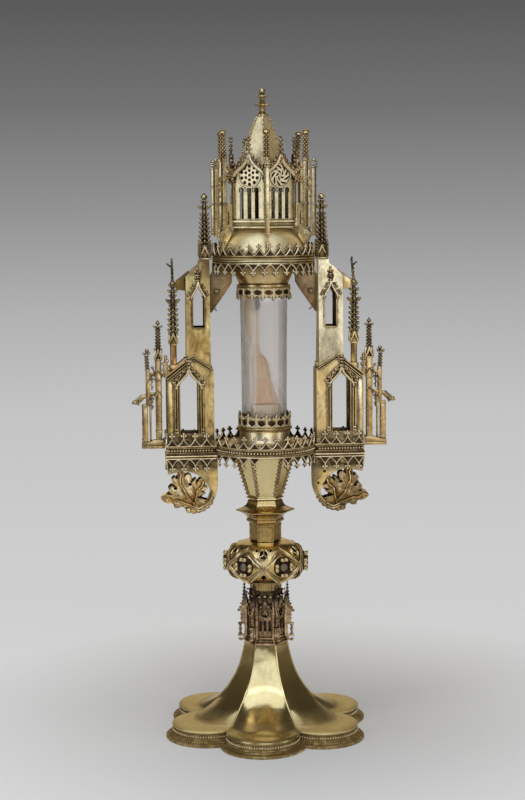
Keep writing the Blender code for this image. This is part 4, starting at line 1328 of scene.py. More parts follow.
def old_stuff(name, clean, stained):
    """A dull, unevenly stained material, such as parchment or faded cloth."""
    made, shader, place = new_finish(name)
    stain = ranged(noise_of(place, 120, 4, 0.6), 0.35, 0.7)
    fill(shader, {"Base Color": mixed(stain, clean, stained), "Roughness": 0.7})
    return made


def wrapped(levels_of, seed, count=40, wrinkle=0.07):
    """A bundle lofted through (z, centre x, half width, half depth), wrinkled by a noise."""
    rings = []
    for z, x, wide, deep in curved(levels_of, 4):
        ring = []
        for i in range(count):
            angle = tau * i / count
            fold = 1 + wrinkle * noise.noise((2.2 * cos(angle) + seed, 2.2 * sin(angle), z / 16))
            fold += 0.6 * wrinkle * noise.noise((6 * cos(angle), 6 * sin(angle) + seed, z / 9))
            ring.append((x + wide * fold * cos(angle), deep * fold * sin(angle), z))
        rings.append(ring)
    return loft(rings)


def make_relic():
    silk = silk_finish()
    parchment = old_stuff("parchment", (0.98, 0.84, 0.62), (0.9, 0.68, 0.45))
    purple = old_stuff("purple_silk", (0.34, 0.25, 0.29), (0.22, 0.15, 0.18))
    bundle = wrapped([
        (269.2, 0.6, 10.2, 8), (271, 0.9, 10.6, 8.4), (276, 0, 9.2, 7.6), (286, -1.4, 7.6, 6.6),
        (296, -2.2, 6.4, 5.6), (303, -2.8, 5.6, 4.4), (306.5, -3.4, 4, 3), (309, -4.6, 2.2, 2),
        (313, -5.4, 1.6, 1.6), (316, -6.4, 2.6, 1.2),
    ], 3.1, wrinkle=0.22)
    finish("relic_silk", bundle, silk, [], 60)
    strip = wrapped([
        (268, -5, 3.4, 0.5), (300, -6.8, 3, 0.5), (312, -7, 2.6, 0.6), (320, -8, 3.6, 0.6),
        (328, -9.4, 5, 0.8), (344, -10.2, 5.6, 1), (351, -10, 5.2, 0.9), (354, -9.8, 2.4, 0.5),
    ], 8, 24, 0.1)
    strip.transform(at(0, 4.6))
    finish("relic_parchment", strip, parchment, [], 60)
    scrap = wrapped([(343.6, -5, 0.9, 0.4), (347, -4.6, 1.6, 0.7), (352, -4.9, 1.8, 0.7),
        (355, -5.4, 0.8, 0.4)], 5, 12, 0.3)
    scrap.transform(at(0, 3.4))
    finish("relic_scrap", scrap, purple, [], 60)
    base = turned([(0, 269), (11.2, 268.6), (12.2, 267.6), (12.4, 262), (13, 251), (0, 250)], 40)
    base.transform(at(1.2))
    dent(base, 6, 0.5)
    finish("relic_block", base, parchment, [], 40)


make_relic()

# %% [markdown]
# ## The upper ring and the lid
# The upper ring is tied to both towers and carries a hanging fringe. On it lies the lid: a band with
# a crest, a low dome of polished sheet, and the lantern.

# %% Upper ring, lid rim and dome
LID_CREST = crest_unit(8.3, 9.4, 1.15)
RING = gilding("ring_gilt", (0.92, 0.77, 0.46), (0.76, 0.6, 0.33), (0.06, 0.034, 0.018), (0.24, 0.36), 1.2,
    shade_and_dirt=1.4)
# The dome is darker round its foot, behind the lid crest: painted shade.
DOME = gilding(
    "dome_gilt", (0.98, 0.84, 0.51), (0.88, 0.73, 0.42), (0.22, 0.145, 0.065), (0.36, 0.48), 2.4, dents=0.6,
    darkening_heights=(388, 394), stains=0.2
)
ROOF = gilding(
    "roof_gilt", (0.9, 0.76, 0.47), (0.78, 0.62, 0.36), (0.18, 0.11, 0.05), (0.34, 0.46), 2.4, dents=0.5,
    darkening_heights=(450, 466)
)


def make_upper_ring():
    profile = [(41.2, 385.3), (41.6, 384.7), (41.2, 384.1), (40.5, 383.8), (41, 383.1), (41.4, 382.5)]
    profile += [(41, 381.9), (39.6, 381.8), (39.6, 383.8), (25.6, 383.8), (25.6, 385.2)]
    finish("upper_ring", turned(profile, 96, ring=True), RING, ["upper_ring"], 30)
    unit_ring("upper_ring", 40.7, [(382.0, FRINGE, True, None)])


def make_lid_rim():
    profile = [(0, 388.9), (38.9, 389), (40.8, 389.2), (41.4, 388.7), (41, 388.1), (40.2, 387.7), (40.7, 387)]
    profile += [(41.5, 386.5), (41.2, 385.9), (39.4, 385.8), (0, 385.9)]
    finish("lid_rim", turned(profile, 96), RING, ["lid_rim"], 30)
    unit_ring("lid_rim", 40.6, [(389.0, LID_CREST, False, None)], 31)


def make_dome():
    curve = [(38.5, 389.3), (37.9, 391.2), (36.6, 394.4), (34.4, 398.2), (31, 402.6), (27.4, 406),
        (24.4, 407.9)]
    profile = [*curved(curve, 3), (23.8, 408.3), (24.2, 408.9), (23.6, 409.3), (0, 409.4), (0, 389.3)]
    shape = turned(profile, 96)
    dent(shape, 14, 0.4)
    finish("dome", shape, DOME, ["dome"], 30)


make_upper_ring()
make_lid_rim()
make_dome()

# %% [markdown]
# ## The lantern
# Six gabled walls of thin sheet stand on a moulded base, each sawn through with three keyhole
# lancets and a wheel of tracery, by turns a rose of round holes and a swirl of daggers. A wall is a
# plate with holes cut out and mouldings laid on; gables and crockets are pieces of their own.

# %% Lantern walls
LANTERN_RADIUS = 27.9
LANTERN_FACE = LANTERN_RADIUS * cos(SIXTH / 2)
ROSE_Z = 451.4
LANCETS = (-6.9, -0.2, 6.2)
GABLE = [(14.8, 447.4), (13.2, 451.4), (9.8, 455), (6.2, 457.6), (3.2, 460.8), (1.3, 464.2), (0.3, 467.4)]
# Its inside is painted dark: painted shade within the lantern.
LANTERN_GILT = gilding(
    "lantern_gilt", (0.86, 0.72, 0.44), (0.66, 0.53, 0.29), (0.03, 0.017, 0.009), (0.22, 0.34), 2.2, shade_and_dirt=1.3,
    inside=55
)


def keyhole(x):
    """A lancet whose head is a round hole."""
    left, right, low, spring = x - 1.75, x + 1.75, 417.4, 438
    head = arc((x, spring + 1.8), 2.2, -38, 218, 10)
    return [(left, low), (right, low), (right, spring), *head, (left, spring)]


def rose_holes():
    """Round holes in two rings about a middle one."""
    holes = [arc((0, ROSE_Z), 1.3, 0, 315, 7)]
    for count, radius, size in ((6, 3.6, 1.3), (10, 7.1, 1.5)):
        for k in range(count):
            turn = tau * (k + 0.5) / count
            holes.append(arc((radius * cos(turn), ROSE_Z + radius * sin(turn)), size, 0, 315, 7))
    return holes


def dagger_holes():
    """Curved drops that chase one another round a wheel, in two rings."""
    holes = []
    for count, inner, outer, lean, fat in ((5, 1, 4.4, 0.9, 1), (9, 5, 8.8, 0.6, 1.35)):
        for k in range(count):
            turn = tau * k / count
            left, right = [], []
            for step in range(5):
                share = step / 4
                radius = inner + (outer - inner) * share
                middle = turn + lean * share
                half = fat * sin(pi * min(1, share * 0.8 + 0.12))
                for side, points in ((1, left), (-1, right)):
                    angle = middle + side * half / max(radius, 2.4)
                    points.append((radius * cos(angle), ROSE_Z + radius * sin(angle)))
            holes.append([*right, *reversed(left)])
    return holes


def lantern_wall(holes):
    y = -LANTERN_FACE
    right = [(13.7, 451), (12, 453), (8.4, 456), (5, 459.4), (1, 463)]
    outline = [(-13.7, 416.8), (13.7, 416.8), *both_ways(right)]
    cutters = bmesh.new()
    for hole in [*holes, *(keyhole(x) for x in LANCETS)]:
        add(cutters, plate(hole, 6, y))
    shape = carve(plate(outline, 1.2, y + 0.6), cutters)
    for x in LANCETS:
        lay(shape, flat(arc((x, 439.8), 2.7, -30, 210, 8), y - 0.1), 0.6, 1, 4)
    lay(shape, flat(arc((0, ROSE_Z), 9.6, 0, 360, 24), y - 0.1), 0.7, 1.2, 4)
    return as_mesh(shape)


def gable():
    """The two bars of a gable, and the crockets and leafy finial cast on them."""
    y = -LANTERN_FACE - 1.1
    bars = bmesh.new()
    shape = bmesh.new()
    for mirror in (1, -1):
        line = [(x * mirror, y, z) for x, z in curved(GABLE, 2)]
        lay(bars, line, 3, 2.8)
        for k, (x, _, z) in enumerate(line[1:-1]):
            size = 2.1 if k % 2 else 1.5
            drop(shape, (x + size * 0.95 * mirror, y, z + size * 0.9), (size, 1.7, size * 0.9))
    lay(shape, [(0, y, 461), (0, y, 477)], [2.6, 1.6], 2.2)
    for z, wide, tall in ((464.4, 2.8, 1.1), (468, 2.2, 0.9), (471.4, 3.1, 1.3), (475, 2.4, 1.1),
        (478.6, 2.5, 1.5), (481.2, 1.1, 1)):
        drop(shape, (0, y, z), (wide, 1.9, tall))
    for x, z in ((14, 450.4), (12.8, 455.2), (15, 455.6), (14, 459.4), (11.6, 458.4), (15.2, 446.6)):
        for mirror in (1, -1):
            drop(shape, (x * mirror, y + 0.8, z), (1.7, 1.8, 1.5))
    return bars, shape


def lantern_inner_shade():
    """A dark sheet close behind the tracery of one wall, painted as the shade within, and a dark edge round its
    gable, a painted shadow outline.
    """
    right = [(12.6, 441.6), (12.6, 450.8), (8, 455.2), (4.6, 458.6), (0.9, 462)]
    shape = plate(both_ways(right), 0.4, 1.6 - LANTERN_FACE)
    for mirror in (1, -1):
        line = [(x * mirror, 0.3 - LANTERN_FACE, z) for x, z in curved(GABLE, 2)]
        lay(shape, line, 5.6, 1.8, 5)
    return as_mesh(shape)


def make_lantern():
    profile = [(28.4, 409.8), (29.4, 410.4), (29.4, 411.2), (28.2, 411.8), (27.6, 412.6), (27.8, 413.6)]
    profile += [(28.6, 414.2), (29.4, 414.8), (29.4, 416), (28.2, 416.6), (27.8, 417.2), (26.4, 417.2)]
    shape = stacked(profile, SIDES, LANTERN_TURN)
    walls = [lantern_wall(rose_holes()), lantern_wall(dagger_holes())]
    gable_bars, crockets = gable()
    for name, unit, material, slot in (
        ("lantern_gables", gable_bars, HIGHLIGHT_GILT, "gilt"),
        ("lantern_crockets", crockets, HOOD_GILT, "dark_gilt"),
        ("lantern_inner_shade", lantern_inner_shade(), SHADE_DARK, "dark_gilt"),
    ):
        finish(name, ring_of(unit, -SIXTH / 2), material, ["lantern"], 60)
    corner = as_mesh(block((27.2, 28.7), 1.3, (417, 447), 0.3))
    for i in range(SIDES):
        stamp(shape, walls[i % 2], spin_by(SIXTH * i - SIXTH / 2))
        stamp(shape, corner, spin_by(LANTERN_TURN + SIXTH * i))
    finish("lantern", shape, LANTERN_GILT, ["lantern"], 30)


make_lantern()

# %% [markdown]
# ## Flying buttresses
# From each corner of the lantern a buttress steps down to the rim: a pierced plate over the dome, a
# pier with a pinnacle, two arches with tracery between them, and a slender outer shaft with a cap.
# Handling has bent the pinnacles, so each leans its own way.

# %% One buttress


def collars(shape, low, high, deep, tall, rows, soften=0.25):
    """Small mouldings round a shaft from low to high along X, from (z, how far they stand out)."""
    for z, grow in rows:
        slab(shape, (low - grow, high + grow), deep + grow, (z, z + tall), soften)


def flyer():
    """The pale lower part of one buttress in the XZ plane, its outer side along +X."""
    outline = [(30.2, 410.4), (38.4, 410.4), (38.4, 427.4), (35.2, 430.4), (30.2, 428)]
    shape = carve(plate(outline, 2.2), plate(lancet(34, 2.4, 412.8, 420.4, 423.6), 6))
    lower = [(30.4, 410.6), (31.4, 404.4), (35.8, 397.6), (38, 391.2), (39.6, 391.2), (39.6, 399.4)]
    lower += [(41.6, 403.6), (45.8, 404.6), (45.8, 406.4), (41.2, 406.8), (39, 410.6)]
    add(shape, plate(lower, 2.8, 0, 0.3))
    for z in (398.4, 404, 409.6):
        out = 38.8 if z < 400 else 40.4
        slab(shape, (out - 3.4, out + 0.6), 1.9, (z, z + 1.1), 0.3)
    slab(shape, (35.5, 38.9), 1.7, (410, 462.6), 0.5)
    collars(shape, 35.5, 38.9, 1.7, 0.9, ((416, 0.35), (428, 0.6), (429.4, 0.4), (446, 0.4)))
    slab(shape, (42.9, 46.1), 1.6, (404, 458.6), 0.5)
    steps = ((405.6, 0.4), (417, 0.35), (428.4, 0.5), (442.6, 0.4), (457.4, 0.8), (459.4, 0.9), (461.2, 0.7))
    collars(shape, 42.9, 46.1, 1.6, 0.8, steps)
    drop(shape, (44.5, 0, 462.8), (1.9, 1.8, 1.3), 2)
    return as_mesh(shape)


def flyer_top(lean, shift):
    """Its darker cast parts: pinnacle, arches and tracery. lean tilts the pinnacle, shift moves it in."""
    pinnacle = studded(464.6, 484, 4.6, 3, 1.15)
    slab(pinnacle, 2.1, 2.1, (462.2, 465), 0.4)
    add(pinnacle, turned([(0, 483.4), (2.9, 484), (3, 485), (2.2, 485.6), (2.6, 486.2), (0, 487.4)], 10))
    shape = bmesh.new()
    add(shape, pinnacle, matrix=at(37.2 - shift, 0, 463) @ lean_by(lean) @ at(0, 0, -463))
    for rise in (0, 8.6):
        bow = curved([(38.4, 443 + rise), (40.2, 440.6 + rise), (42.2, 436.8 + rise),
            (43.4, 434.4 + rise)], 3)
        lay(shape, flat(bow), 1.6, 2)
    for x, z in ((40.9, 439.4), (40.6, 443.6), (41.6, 446.6), (40, 447.8), (41, 434.8)):
        drop(shape, (x, 0, z), (1.1, 1, 1.2))
    for x, z, end_z in ((29, 450.2, 446), (28.6, 452.6, 456.6)):
        bow = curved([(x, z), ((x + 35.9) / 2, (z + end_z) / 2 + 1.6), (35.9, end_z)], 4)
        lay(shape, flat(bow), 1.7, 2)
        for x, z in bow[::2]:
            drop(shape, (x, 0, z + 1.3), (1.1, 1.2, 1.1))
    return shape


LEANS = ((0.12, 4.4), (-0.03, 0), (0, 0), (0.03, 0), (-0.02, 0), (0.03, 0))


def make_flyers():
    shape = bmesh.new()
    crown = bmesh.new()
    unit = flyer()
    for i, (lean, shift) in enumerate(LEANS):
        turn = spin_by(LANTERN_TURN + SIXTH * i)
        stamp(shape, unit, turn)
        add(crown, flyer_top(lean, shift), matrix=turn)
    names = six_nodes("flying_buttress")
    finish("flying_buttresses", shape, LANTERN_GILT, names)
    finish("buttress_pinnacles", crown, CAST, names, 60)


make_flyers()

# %% [markdown]
# ## Spire and finial
# The roof is a plain six-sided spire. Small crockets climb its edges, and a turned finial of rings
# and a ball ends the whole object.

# %% Spire and finial


def make_spire():
    shape = stacked([(25.6, 449.8), (25.2, 450.6), (5, 498)], SIDES, LANTERN_TURN)
    dent(shape, 10, 0.2)
    edge = rod([(25.5, 0, 450.4), (5.1, 0, 498)], 1.1, 1.3)
    for k in range(13):
        share = (k + 0.6) / 13.4
        drop(edge, (25.5 - 20.4 * share + 0.9, 0, 450.4 + 47.6 * share), (1, 0.8, 0.75))
    around(shape, edge, LANTERN_TURN)
    finish("spire", shape, ROOF, ["spire"], 30)


def make_finial():
    profile = [(0, 520), (0.9, 519.9), (2.2, 519), (2.8, 517.5), (2.2, 516), (1.7, 515.3), (3.4, 514.6)]
    profile += [(4.1, 513.7), (3.6, 512.8), (2, 512.2), (1.8, 511), (2.3, 510.4), (2, 509.2), (3.8, 508.2)]
    profile += [(5.6, 507.3), (5.4, 506.4), (3, 505.4), (2.1, 504), (2.5, 503), (2.1, 501.6), (3.6, 500.2)]
    profile += [(5.4, 499.2), (5.5, 498.4), (0, 498.3)]
    shape = turned(profile, 24)
    for count, radius, z in ((8, 5.4, 506.9), (6, 4, 513.7)):
        beads(shape, count, radius, z, (1.1, 0.9, 0.8))
    finish("finial", shape, DARK, ["finial"], 40)


make_spire()
make_finial()

# %% [markdown]
# ## The towers
# Two towers stand on brackets at the sides, each a narrow box of gilded sheet in two storeys. Pieces
# are made for the right side and mirrored for the left; a few accidents, such as the drill holes in
# one bracket, belong to one side only.

# %% Tower helpers
TOWER_LEFT = 41.2
TOWER_RIGHT = 78.6
TOWER_DEEP = 12.5
MIRROR = scaled(-1, 1, 1)
TO_BACK = scaled(1, -1, 1)
# The towers' insides are painted dark, as shade.
WALL = {"depth": 2.2, "dents": 0.8, "shade_and_dirt": 1.4, "stretch": 0.5, "inside": 24}
# The foot of the wall behind the cornice crest is darkened: painted shade, with dirt.
WALLS = gilding(
    "tower_gilt", (0.95, 0.8, 0.45), (0.66, 0.5, 0.24), (0.085, 0.05, 0.02), (0.18, 0.3),
    darkening_heights=(244.5, 249), stains=0.8, **WALL
)
# A lighter copy for the right tower: painted light, as if more light fell on it.
LIT_WALLS = gilding(
    "lit_tower_gilt", (0.96, 0.82, 0.52), (0.78, 0.62, 0.36), (0.1, 0.06, 0.025), (0.18, 0.3),
    darkening_heights=(244.5, 249), stains=0.6, **WALL
)
# A darker copy for the left tower's upper storey, darker again towards its top: painted shade, with its stains.
SHADED_STAINED_WALLS = gilding(
    "shaded_stained_tower_gilt", (0.59, 0.465, 0.215), (0.24, 0.155, 0.05), (0.1, 0.055, 0.018), (0.2, 0.34),
    darkening_heights=(388, 362), stains=0.8, **WALL
)
# The top of the bracket, under the cornice fringe, is darkened: painted shade.
BRACKET = gilding(
    "bracket_gilt", (0.92, 0.76, 0.42), (0.66, 0.5, 0.24), (0.1, 0.06, 0.026), (0.16, 0.3), 2.4, dents=0.9,
    darkening_heights=(219, 212), stains=0.5
)


def per_side(make, material, node_name, smooth=35):
    """Finishes a piece for the right tower and mirrored for the left, which may look its own way.

    The piece is named like the function that makes it.
    """
    for k, side in enumerate(("right", "left")):
        shape = make(side)
        if side == "left":
            shape.transform(MIRROR)
        looks = material[k] if isinstance(material, tuple) else material
        finish(f"{make.__name__}_{side}", shape, looks, [f"{node_name}_{side}"], smooth)


def both_faces(front):
    """The front of a tower and the same on its back."""
    back = front.copy()
    return add(add(bmesh.new(), front), back, matrix=TO_BACK)


def arch_line(centre, half, low, spring, tip, out=0.0):
    """(x, z) up one jamb, over a pointed arch and down the other, set back by `out`."""
    rise = tip - spring + out * 1.3
    wide = half + out
    side = curved([(wide, 0), (wide * 0.88, rise * 0.38), (wide * 0.52, rise * 0.74), (0, rise)], 4)
    right = [(centre + x, spring + z) for x, z in side]
    left = [(centre - x, spring + z) for x, z in reversed(side[:-1])]
    return [(centre + wide, low), *right, *left, (centre - wide, low)]


def ogee_sides(centre, half, spring, tip, y):
    """Both double-curved sides of a hood, each from its foot to its point."""
    rise = tip - spring
    line = curved([(1, 0), (0.84, 0.15), (0.51, 0.39), (0.18, 0.66), (0, 1)], 3)
    return [
        (mirror, [(centre + mirror * half * x, y, spring + rise * z) for x, z in line]) for mirror in (1, -1)
    ]


LOWER_HOOD = (61.2, 9.9, 285.2, 299.2, -14.8)
UPPER_HOOD = (53, 5.4, 355.6, 368.2, -14)


def hood_castings(hood, size, leaves):
    """The crockets that climb a hood's sides, and its leafy finial."""
    centre, half, spring, tip, y = hood
    shape = bmesh.new()
    for mirror, path in ogee_sides(*hood):
        for k in range(leaves):
            x, _, z = path[int((k + 0.6) * (len(path) - 2) / leaves)]
            for out, back, up, *sizes in ((0.95, 0.6, 0.72, 0.66, 0.6, 0.54), (0.5, 0.3, 0.9, 0.36, 0.5, 0.36)):
                place = (x + mirror * size * out, y + back, z + size * up)
                drop(shape, place, [size * part for part in sizes])
        drop(shape, (centre + mirror * half, y, spring - size * 0.5), (size * 0.7, size * 0.7, size * 0.6))
    for z, wide, tall in ((0.4, 1, 0.5), (1.6, 0.6, 0.5), (2.5, 1.25, 0.5), (3.5, 0.7, 0.6)):
        drop(shape, (centre, y - 0.3, tip + z * size * 0.8), (size * wide, size * 0.75, size * tall))
    return shape


def tower_hood_bars(side):
    """The bright bars of both hoods."""
    front = bmesh.new()
    for hood, wide in ((LOWER_HOOD, 2.1), (UPPER_HOOD, 1.6)):
        for _, path in ogee_sides(*hood):
            lay(front, path, wide, 2.6)
    return draw_in(both_faces(front))


print("tower helpers ready")

# %% [markdown]
# The lower storey has a tall pointed window, front and back, between thin shafts, a crocketed hood,
# and a roof edge of three mouldings. The wall is a plate with the window cut out and bars laid on.
# The cast hood is a piece of its own, as its hollows are darker than the sheet's: dirt and painted shade.

# %% Lower storey
ROOF_LINE = [(79.6, 292.8), (57.2, 310), (42.6, 300.4)]
LOWER_WINDOW = (61.2, 7.1, 246.4, 285.4, 295.4)


def lower_front():
    y = -TOWER_DEEP
    outline = [(TOWER_LEFT, 237.3), (TOWER_RIGHT, 237.3), (TOWER_RIGHT, 291), (57.2, 307.4), (42.6, 297.8),
        (TOWER_LEFT, 297)]
    shape = carve(plate(outline, 1.4, y + 0.7), plate(arch_line(*LOWER_WINDOW), 8, y))
    for out, wide, proud in ((0.5, 0.8, 0.2), (2.2, 1.1, 1), (4, 0.9, 0.7)):
        lay(shape, flat(arch_line(*LOWER_WINDOW, out), y - proud), wide, 1.8)
    for x in (50.8, 71.6):
        for z, wide in ((247, 3.6), (249.4, 3), (283.6, 3), (285.4, 3.6)):
            slab(shape, (x - wide / 2, x + wide / 2), (y - 1.9, y), (z, z + 1.1), 0.3)
    slab(shape, (74.4, 78.6), (y - 0.8, y + 1), (239, 289), 0.6)
    for fall, wide in ((0, 1.3), (2.3, 1), (4.4, 0.9)):
        line = [(x - 1.2 if fall and x > 70 else x, y - 1, z - fall) for x, z in ROOF_LINE]
        lay(shape, line, wide, 2.6 - fall * 0.2)
    return shape


def tower_lower(side):
    shape = both_faces(lower_front())
    slab(shape, (TOWER_LEFT, TOWER_LEFT + 1.4), 11.2, (237.4, 297.4))
    slab(shape, (TOWER_RIGHT - 1.4, TOWER_RIGHT), 11.2, (237.4, 291))
    slab(shape, (42.6, 77.2), 11.2, (237.4, 238.6))
    add(shape, plate([*ROOF_LINE, *((x - 0.4, z - 2.2) for x, z in reversed(ROOF_LINE))], 24.6))
    for y in (-9, 0, 9):
        lay(shape, [(79, y, 240), (79, y, 289)], 0.9)
    return shape


def tower_hood_lower(side):
    shape = both_faces(hood_castings(LOWER_HOOD, 3, 4))
    horn = rod([(79, 0, 291.6), (80.2, 0, 297.4), (80, 0, 303), (79.8, 0, 307.6)], [4.6, 4, 3.2, 2.2], 3.4)
    for x, z, size in ((81.4, 298, 1.8), (78.6, 300.6, 1.7), (81.4, 302.6, 1.9), (78.6, 305, 1.7),
        (80, 308.4, 1.8)):
        drop(horn, (x, 0, z), (size, size, size * 0.9))
    add(shape, horn, matrix=at(-0.4, -9.5))
    return shape


per_side(tower_lower, (LIT_WALLS, WALLS), "tower_lower", 30)
TOWER_HOOD = gilding("tower_hood_gilt", (0.86, 0.68, 0.4), (0.46, 0.32, 0.17), (0.03, 0.016, 0.009),
    (0.24, 0.38), 3.2, shade_and_dirt=2, stains=0.5)
per_side(tower_hood_lower, TOWER_HOOD, "tower_lower", 60)

# %% [markdown]
# The upper storey is narrower, and every point above its eaves is pulled towards the middle plane. A
# short arm reaches out to steady the tall pinnacle.

# %% Upper storey
UPPER_LEFT = 43.4
UPPER_RIGHT = 62.8
UPPER_WINDOW = (52.8, 4.3, 331.6, 355.6, 363.4)


def upper_front():
    y = -TOWER_DEEP
    outline = [(UPPER_LEFT, 299.4), (57.2, 308.4), (UPPER_RIGHT, 305.4), (UPPER_RIGHT, 371.8), (60.2, 374.6),
        (56.4, 378.4), (52.3, 381.4), (52.3, 384.3), (43.6, 384.3)]
    shape = carve(plate(outline, 1.4, y + 0.7), plate(arch_line(*UPPER_WINDOW), 8, y))
    add(shape, rod(flat(arch_line(*UPPER_WINDOW, 0.5)), 0.8, 1.6), matrix=at(0, y - 0.3))
    lay(shape, [(48.2, y - 0.3, 331), (57.4, y - 0.3, 331)], 1, 1.4)
    return shape


def draw_in(shape):
    """Pulls everything above the eaves towards the middle plane."""
    for vert in shape.verts:
        if vert.co.z > 364:
            vert.co.y *= 1 - 0.56 * (min(vert.co.z, 384) - 364) / 20
    return shape


def tower_upper(side):
    shape = both_faces(upper_front())
    slab(shape, (UPPER_LEFT, UPPER_LEFT + 1.4), 11.2, (299.6, 384))
    slab(shape, (UPPER_RIGHT - 1.4, UPPER_RIGHT), 11.2, (305.5, 371.6))
    roof = [(62.8, 372), (60.2, 374.8), (56.4, 378.6), (52.3, 381.6), (52.3, 384.4), (50, 384.4), (50.6, 381)]
    add(shape, plate([*roof, (55.4, 377), (59, 373.4), (60.8, 371.6)], 24.8, 0))
    slab(shape, (UPPER_LEFT, 52.3), 12.4, (383.2, 384.4))
    draw_in(shape)
    top = curved([(60, 376.6), (64.4, 373.2), (67.6, 370.6), (70.6, 368.6)], 3)
    under = curved([(70.6, 361.8), (67, 361), (64, 360.6), (60, 359.8)], 3)
    add(shape, plate([*top, *under], 9, 0, 0.9))
    return shape


def tower_hood_upper(side):
    y = -TOWER_DEEP
    front = hood_castings(UPPER_HOOD, 2.4, 4)
    for x, z in ((51.4, 371.4), (54.8, 371.4), (51.6, 375.6), (54.6, 375.6), (53.2, 378.2)):
        drop(front, (x, y - 1.2, z), (1.3, 1, 1.4))
    return draw_in(both_faces(front))


per_side(tower_upper, (LIT_WALLS, SHADED_STAINED_WALLS), "tower_upper", 30)
per_side(tower_hood_upper, HOOD_GILT, "tower_upper", 60)
per_side(tower_hood_bars, HIGHLIGHT_GILT, "tower_upper", 60)

# %% [markdown]
# ## Pinnacles
# The pinnacles are cast: a square shaft, a little gablet on each side, then storey after storey of
# leaves round a thin core, so a list of heights is the whole design. The thin tops are bent.

# %% Pinnacles


def leaf_ring(shape, z, reach, size, turn=pi / 4):
    """A storey of four leaves that stick out and turn up at their tips."""
    leaf = ball((reach - size * 0.8, 0, 0), (size, size * 0.72, size * 0.56))
    drop(leaf, (reach, 0, size * 0.35), (size * 0.45, size * 0.55, size * 0.42))
    around(shape, leaf, turn, 4, at(0, 0, z))


def storeys(shape, rows):
    """Storeys of eight leaves, from (z, reach, size): four on the corners and four smaller ones between."""
    for z, reach, size in rows:
        leaf_ring(shape, z, reach, size)
        leaf_ring(shape, z + 0.4, reach * 0.84, size * 0.85, 0)


def gablets(shape, low, high, wide):
    """Four little gables round a shaft."""
    bars = bmesh.new()
    y = -wide / 2
    for mirror in (1, -1):
        line = [(-mirror * y, y, low), (mirror * wide * 0.2, y - 0.3, (low + high) / 2), (0, y, high)]
        lay(bars, line, 1.1, 1.1, 4)
    around(shape, drop(bars, (0, y, high), (0.9, 0.7, 1)), count=4)


def tall_shaft(side):
    """The plain lower half of the tall pinnacle."""
    shape = rod([(0, 0, 294.6), (0, 0, 318.4)], 5.2, 5.2, 8)
    add(shape, block(3.5, 3.5, (294.8, 301), 0.5), block(3, 3, (316.6, 317.8), 0.4))
    shape.transform(at(73))
    return shape


def tall_pinnacle(side):
    shape = block(2.7, 2.7, (317.8, 324.6), 0.5)
    gablets(shape, 318.4, 326.2, 6.8)
    lay(shape, [(0, 0, 322), (0, 0, 362)], [5.4, 3.4], None, 8)
    storeys(shape, (
        (328.2, 4.6, 2.6), (332.3, 4.5, 2.5), (336.3, 4.4, 2.5), (340.5, 4.3, 2.4), (344.6, 4.2, 2.3),
        (348, 3.4, 1.9), (351.9, 6, 2.6), (356, 3.2, 1.8), (359.8, 4.4, 2.1), (364.4, 3.4, 1.8),
    ))
    add(shape, turned([(0, 349.8), (3.6, 350.2), (4.2, 351), (3.6, 352), (0, 352.6)], 12))
    drop(shape, (0, 0, 365.2), (2.6, 2.6, 3.4), 2)
    lean = 1.8 if side == "right" else -0.4
    tip = [(0, 0, 366), (-lean * 0.4, 0, 374), (-lean, 0, 384), (-lean * 0.8, 0, 386.4)]
    lay(shape, tip, [2.4, 1.9, 1.9, 1.3], 2)
    curl = [(-lean * 0.9, 0, 379.6), (-lean + 1.8, 0, 380.2), (-lean + 3.4, 0, 381.6)]
    add(shape, rod(curl, [1.8, 1.6, 1.2], 1.6), ball((-lean + 3.5, 0, 381.8), (1.1, 1, 0.9)))
    for z in (368.6, 371.4, 374.4, 377.2):
        drop(shape, (-lean * 0.4, 0, z), (1.6, 1.6, 0.8))
    shape.transform(at(73))
    return shape


def top_pinnacle(side):
    shape = block(4.7, 4.7, (384.8, 386.6), 0.5)
    slab(shape, 3.4, 3.4, (386.6, 397), 0.5)
    gablets(shape, 387.4, 395.8, 8.4)
    around(shape, studded(386.6, 398.6, 2.6, 2.4, 0.95), pi / 4, 4, at(5.6))
    lay(shape, [(0, 0, 395), (0, 0, 432)], [6, 3.2], None, 8)
    storeys(shape, (
        (398.8, 5.2, 2.8), (402.4, 4.9, 2.7), (406, 4.6, 2.6), (409.6, 4.4, 2.5), (413.2, 4.2, 2.4),
        (416.8, 4, 2.3), (420.4, 3.7, 2.1), (426.3, 5.2, 2.4), (430.6, 3.4, 1.8),
    ))
    add(shape, ball((0, 0, 434.6), (2.8, 2.8, 2.3), 2), ball((0, 0, 437.2), (1.2, 1.2, 1)))
    shape.transform(at(46.9))
    return shape


per_side(tall_shaft, (PILLAR, COPPER_GILT), "tall_pinnacle")
per_side(tall_pinnacle, TIPPED_GILT, "tall_pinnacle", 60)
per_side(top_pinnacle, DARK, "top_pinnacle", 60)

# %% [markdown]
# ## Outer pillars
# Beside each tower two slender pillars stand on the end of the base slab, tied at two heights by
# small bridges with hanging tracery. The outer one carries a water spout, a crouching beast.

# %% Outer pillars


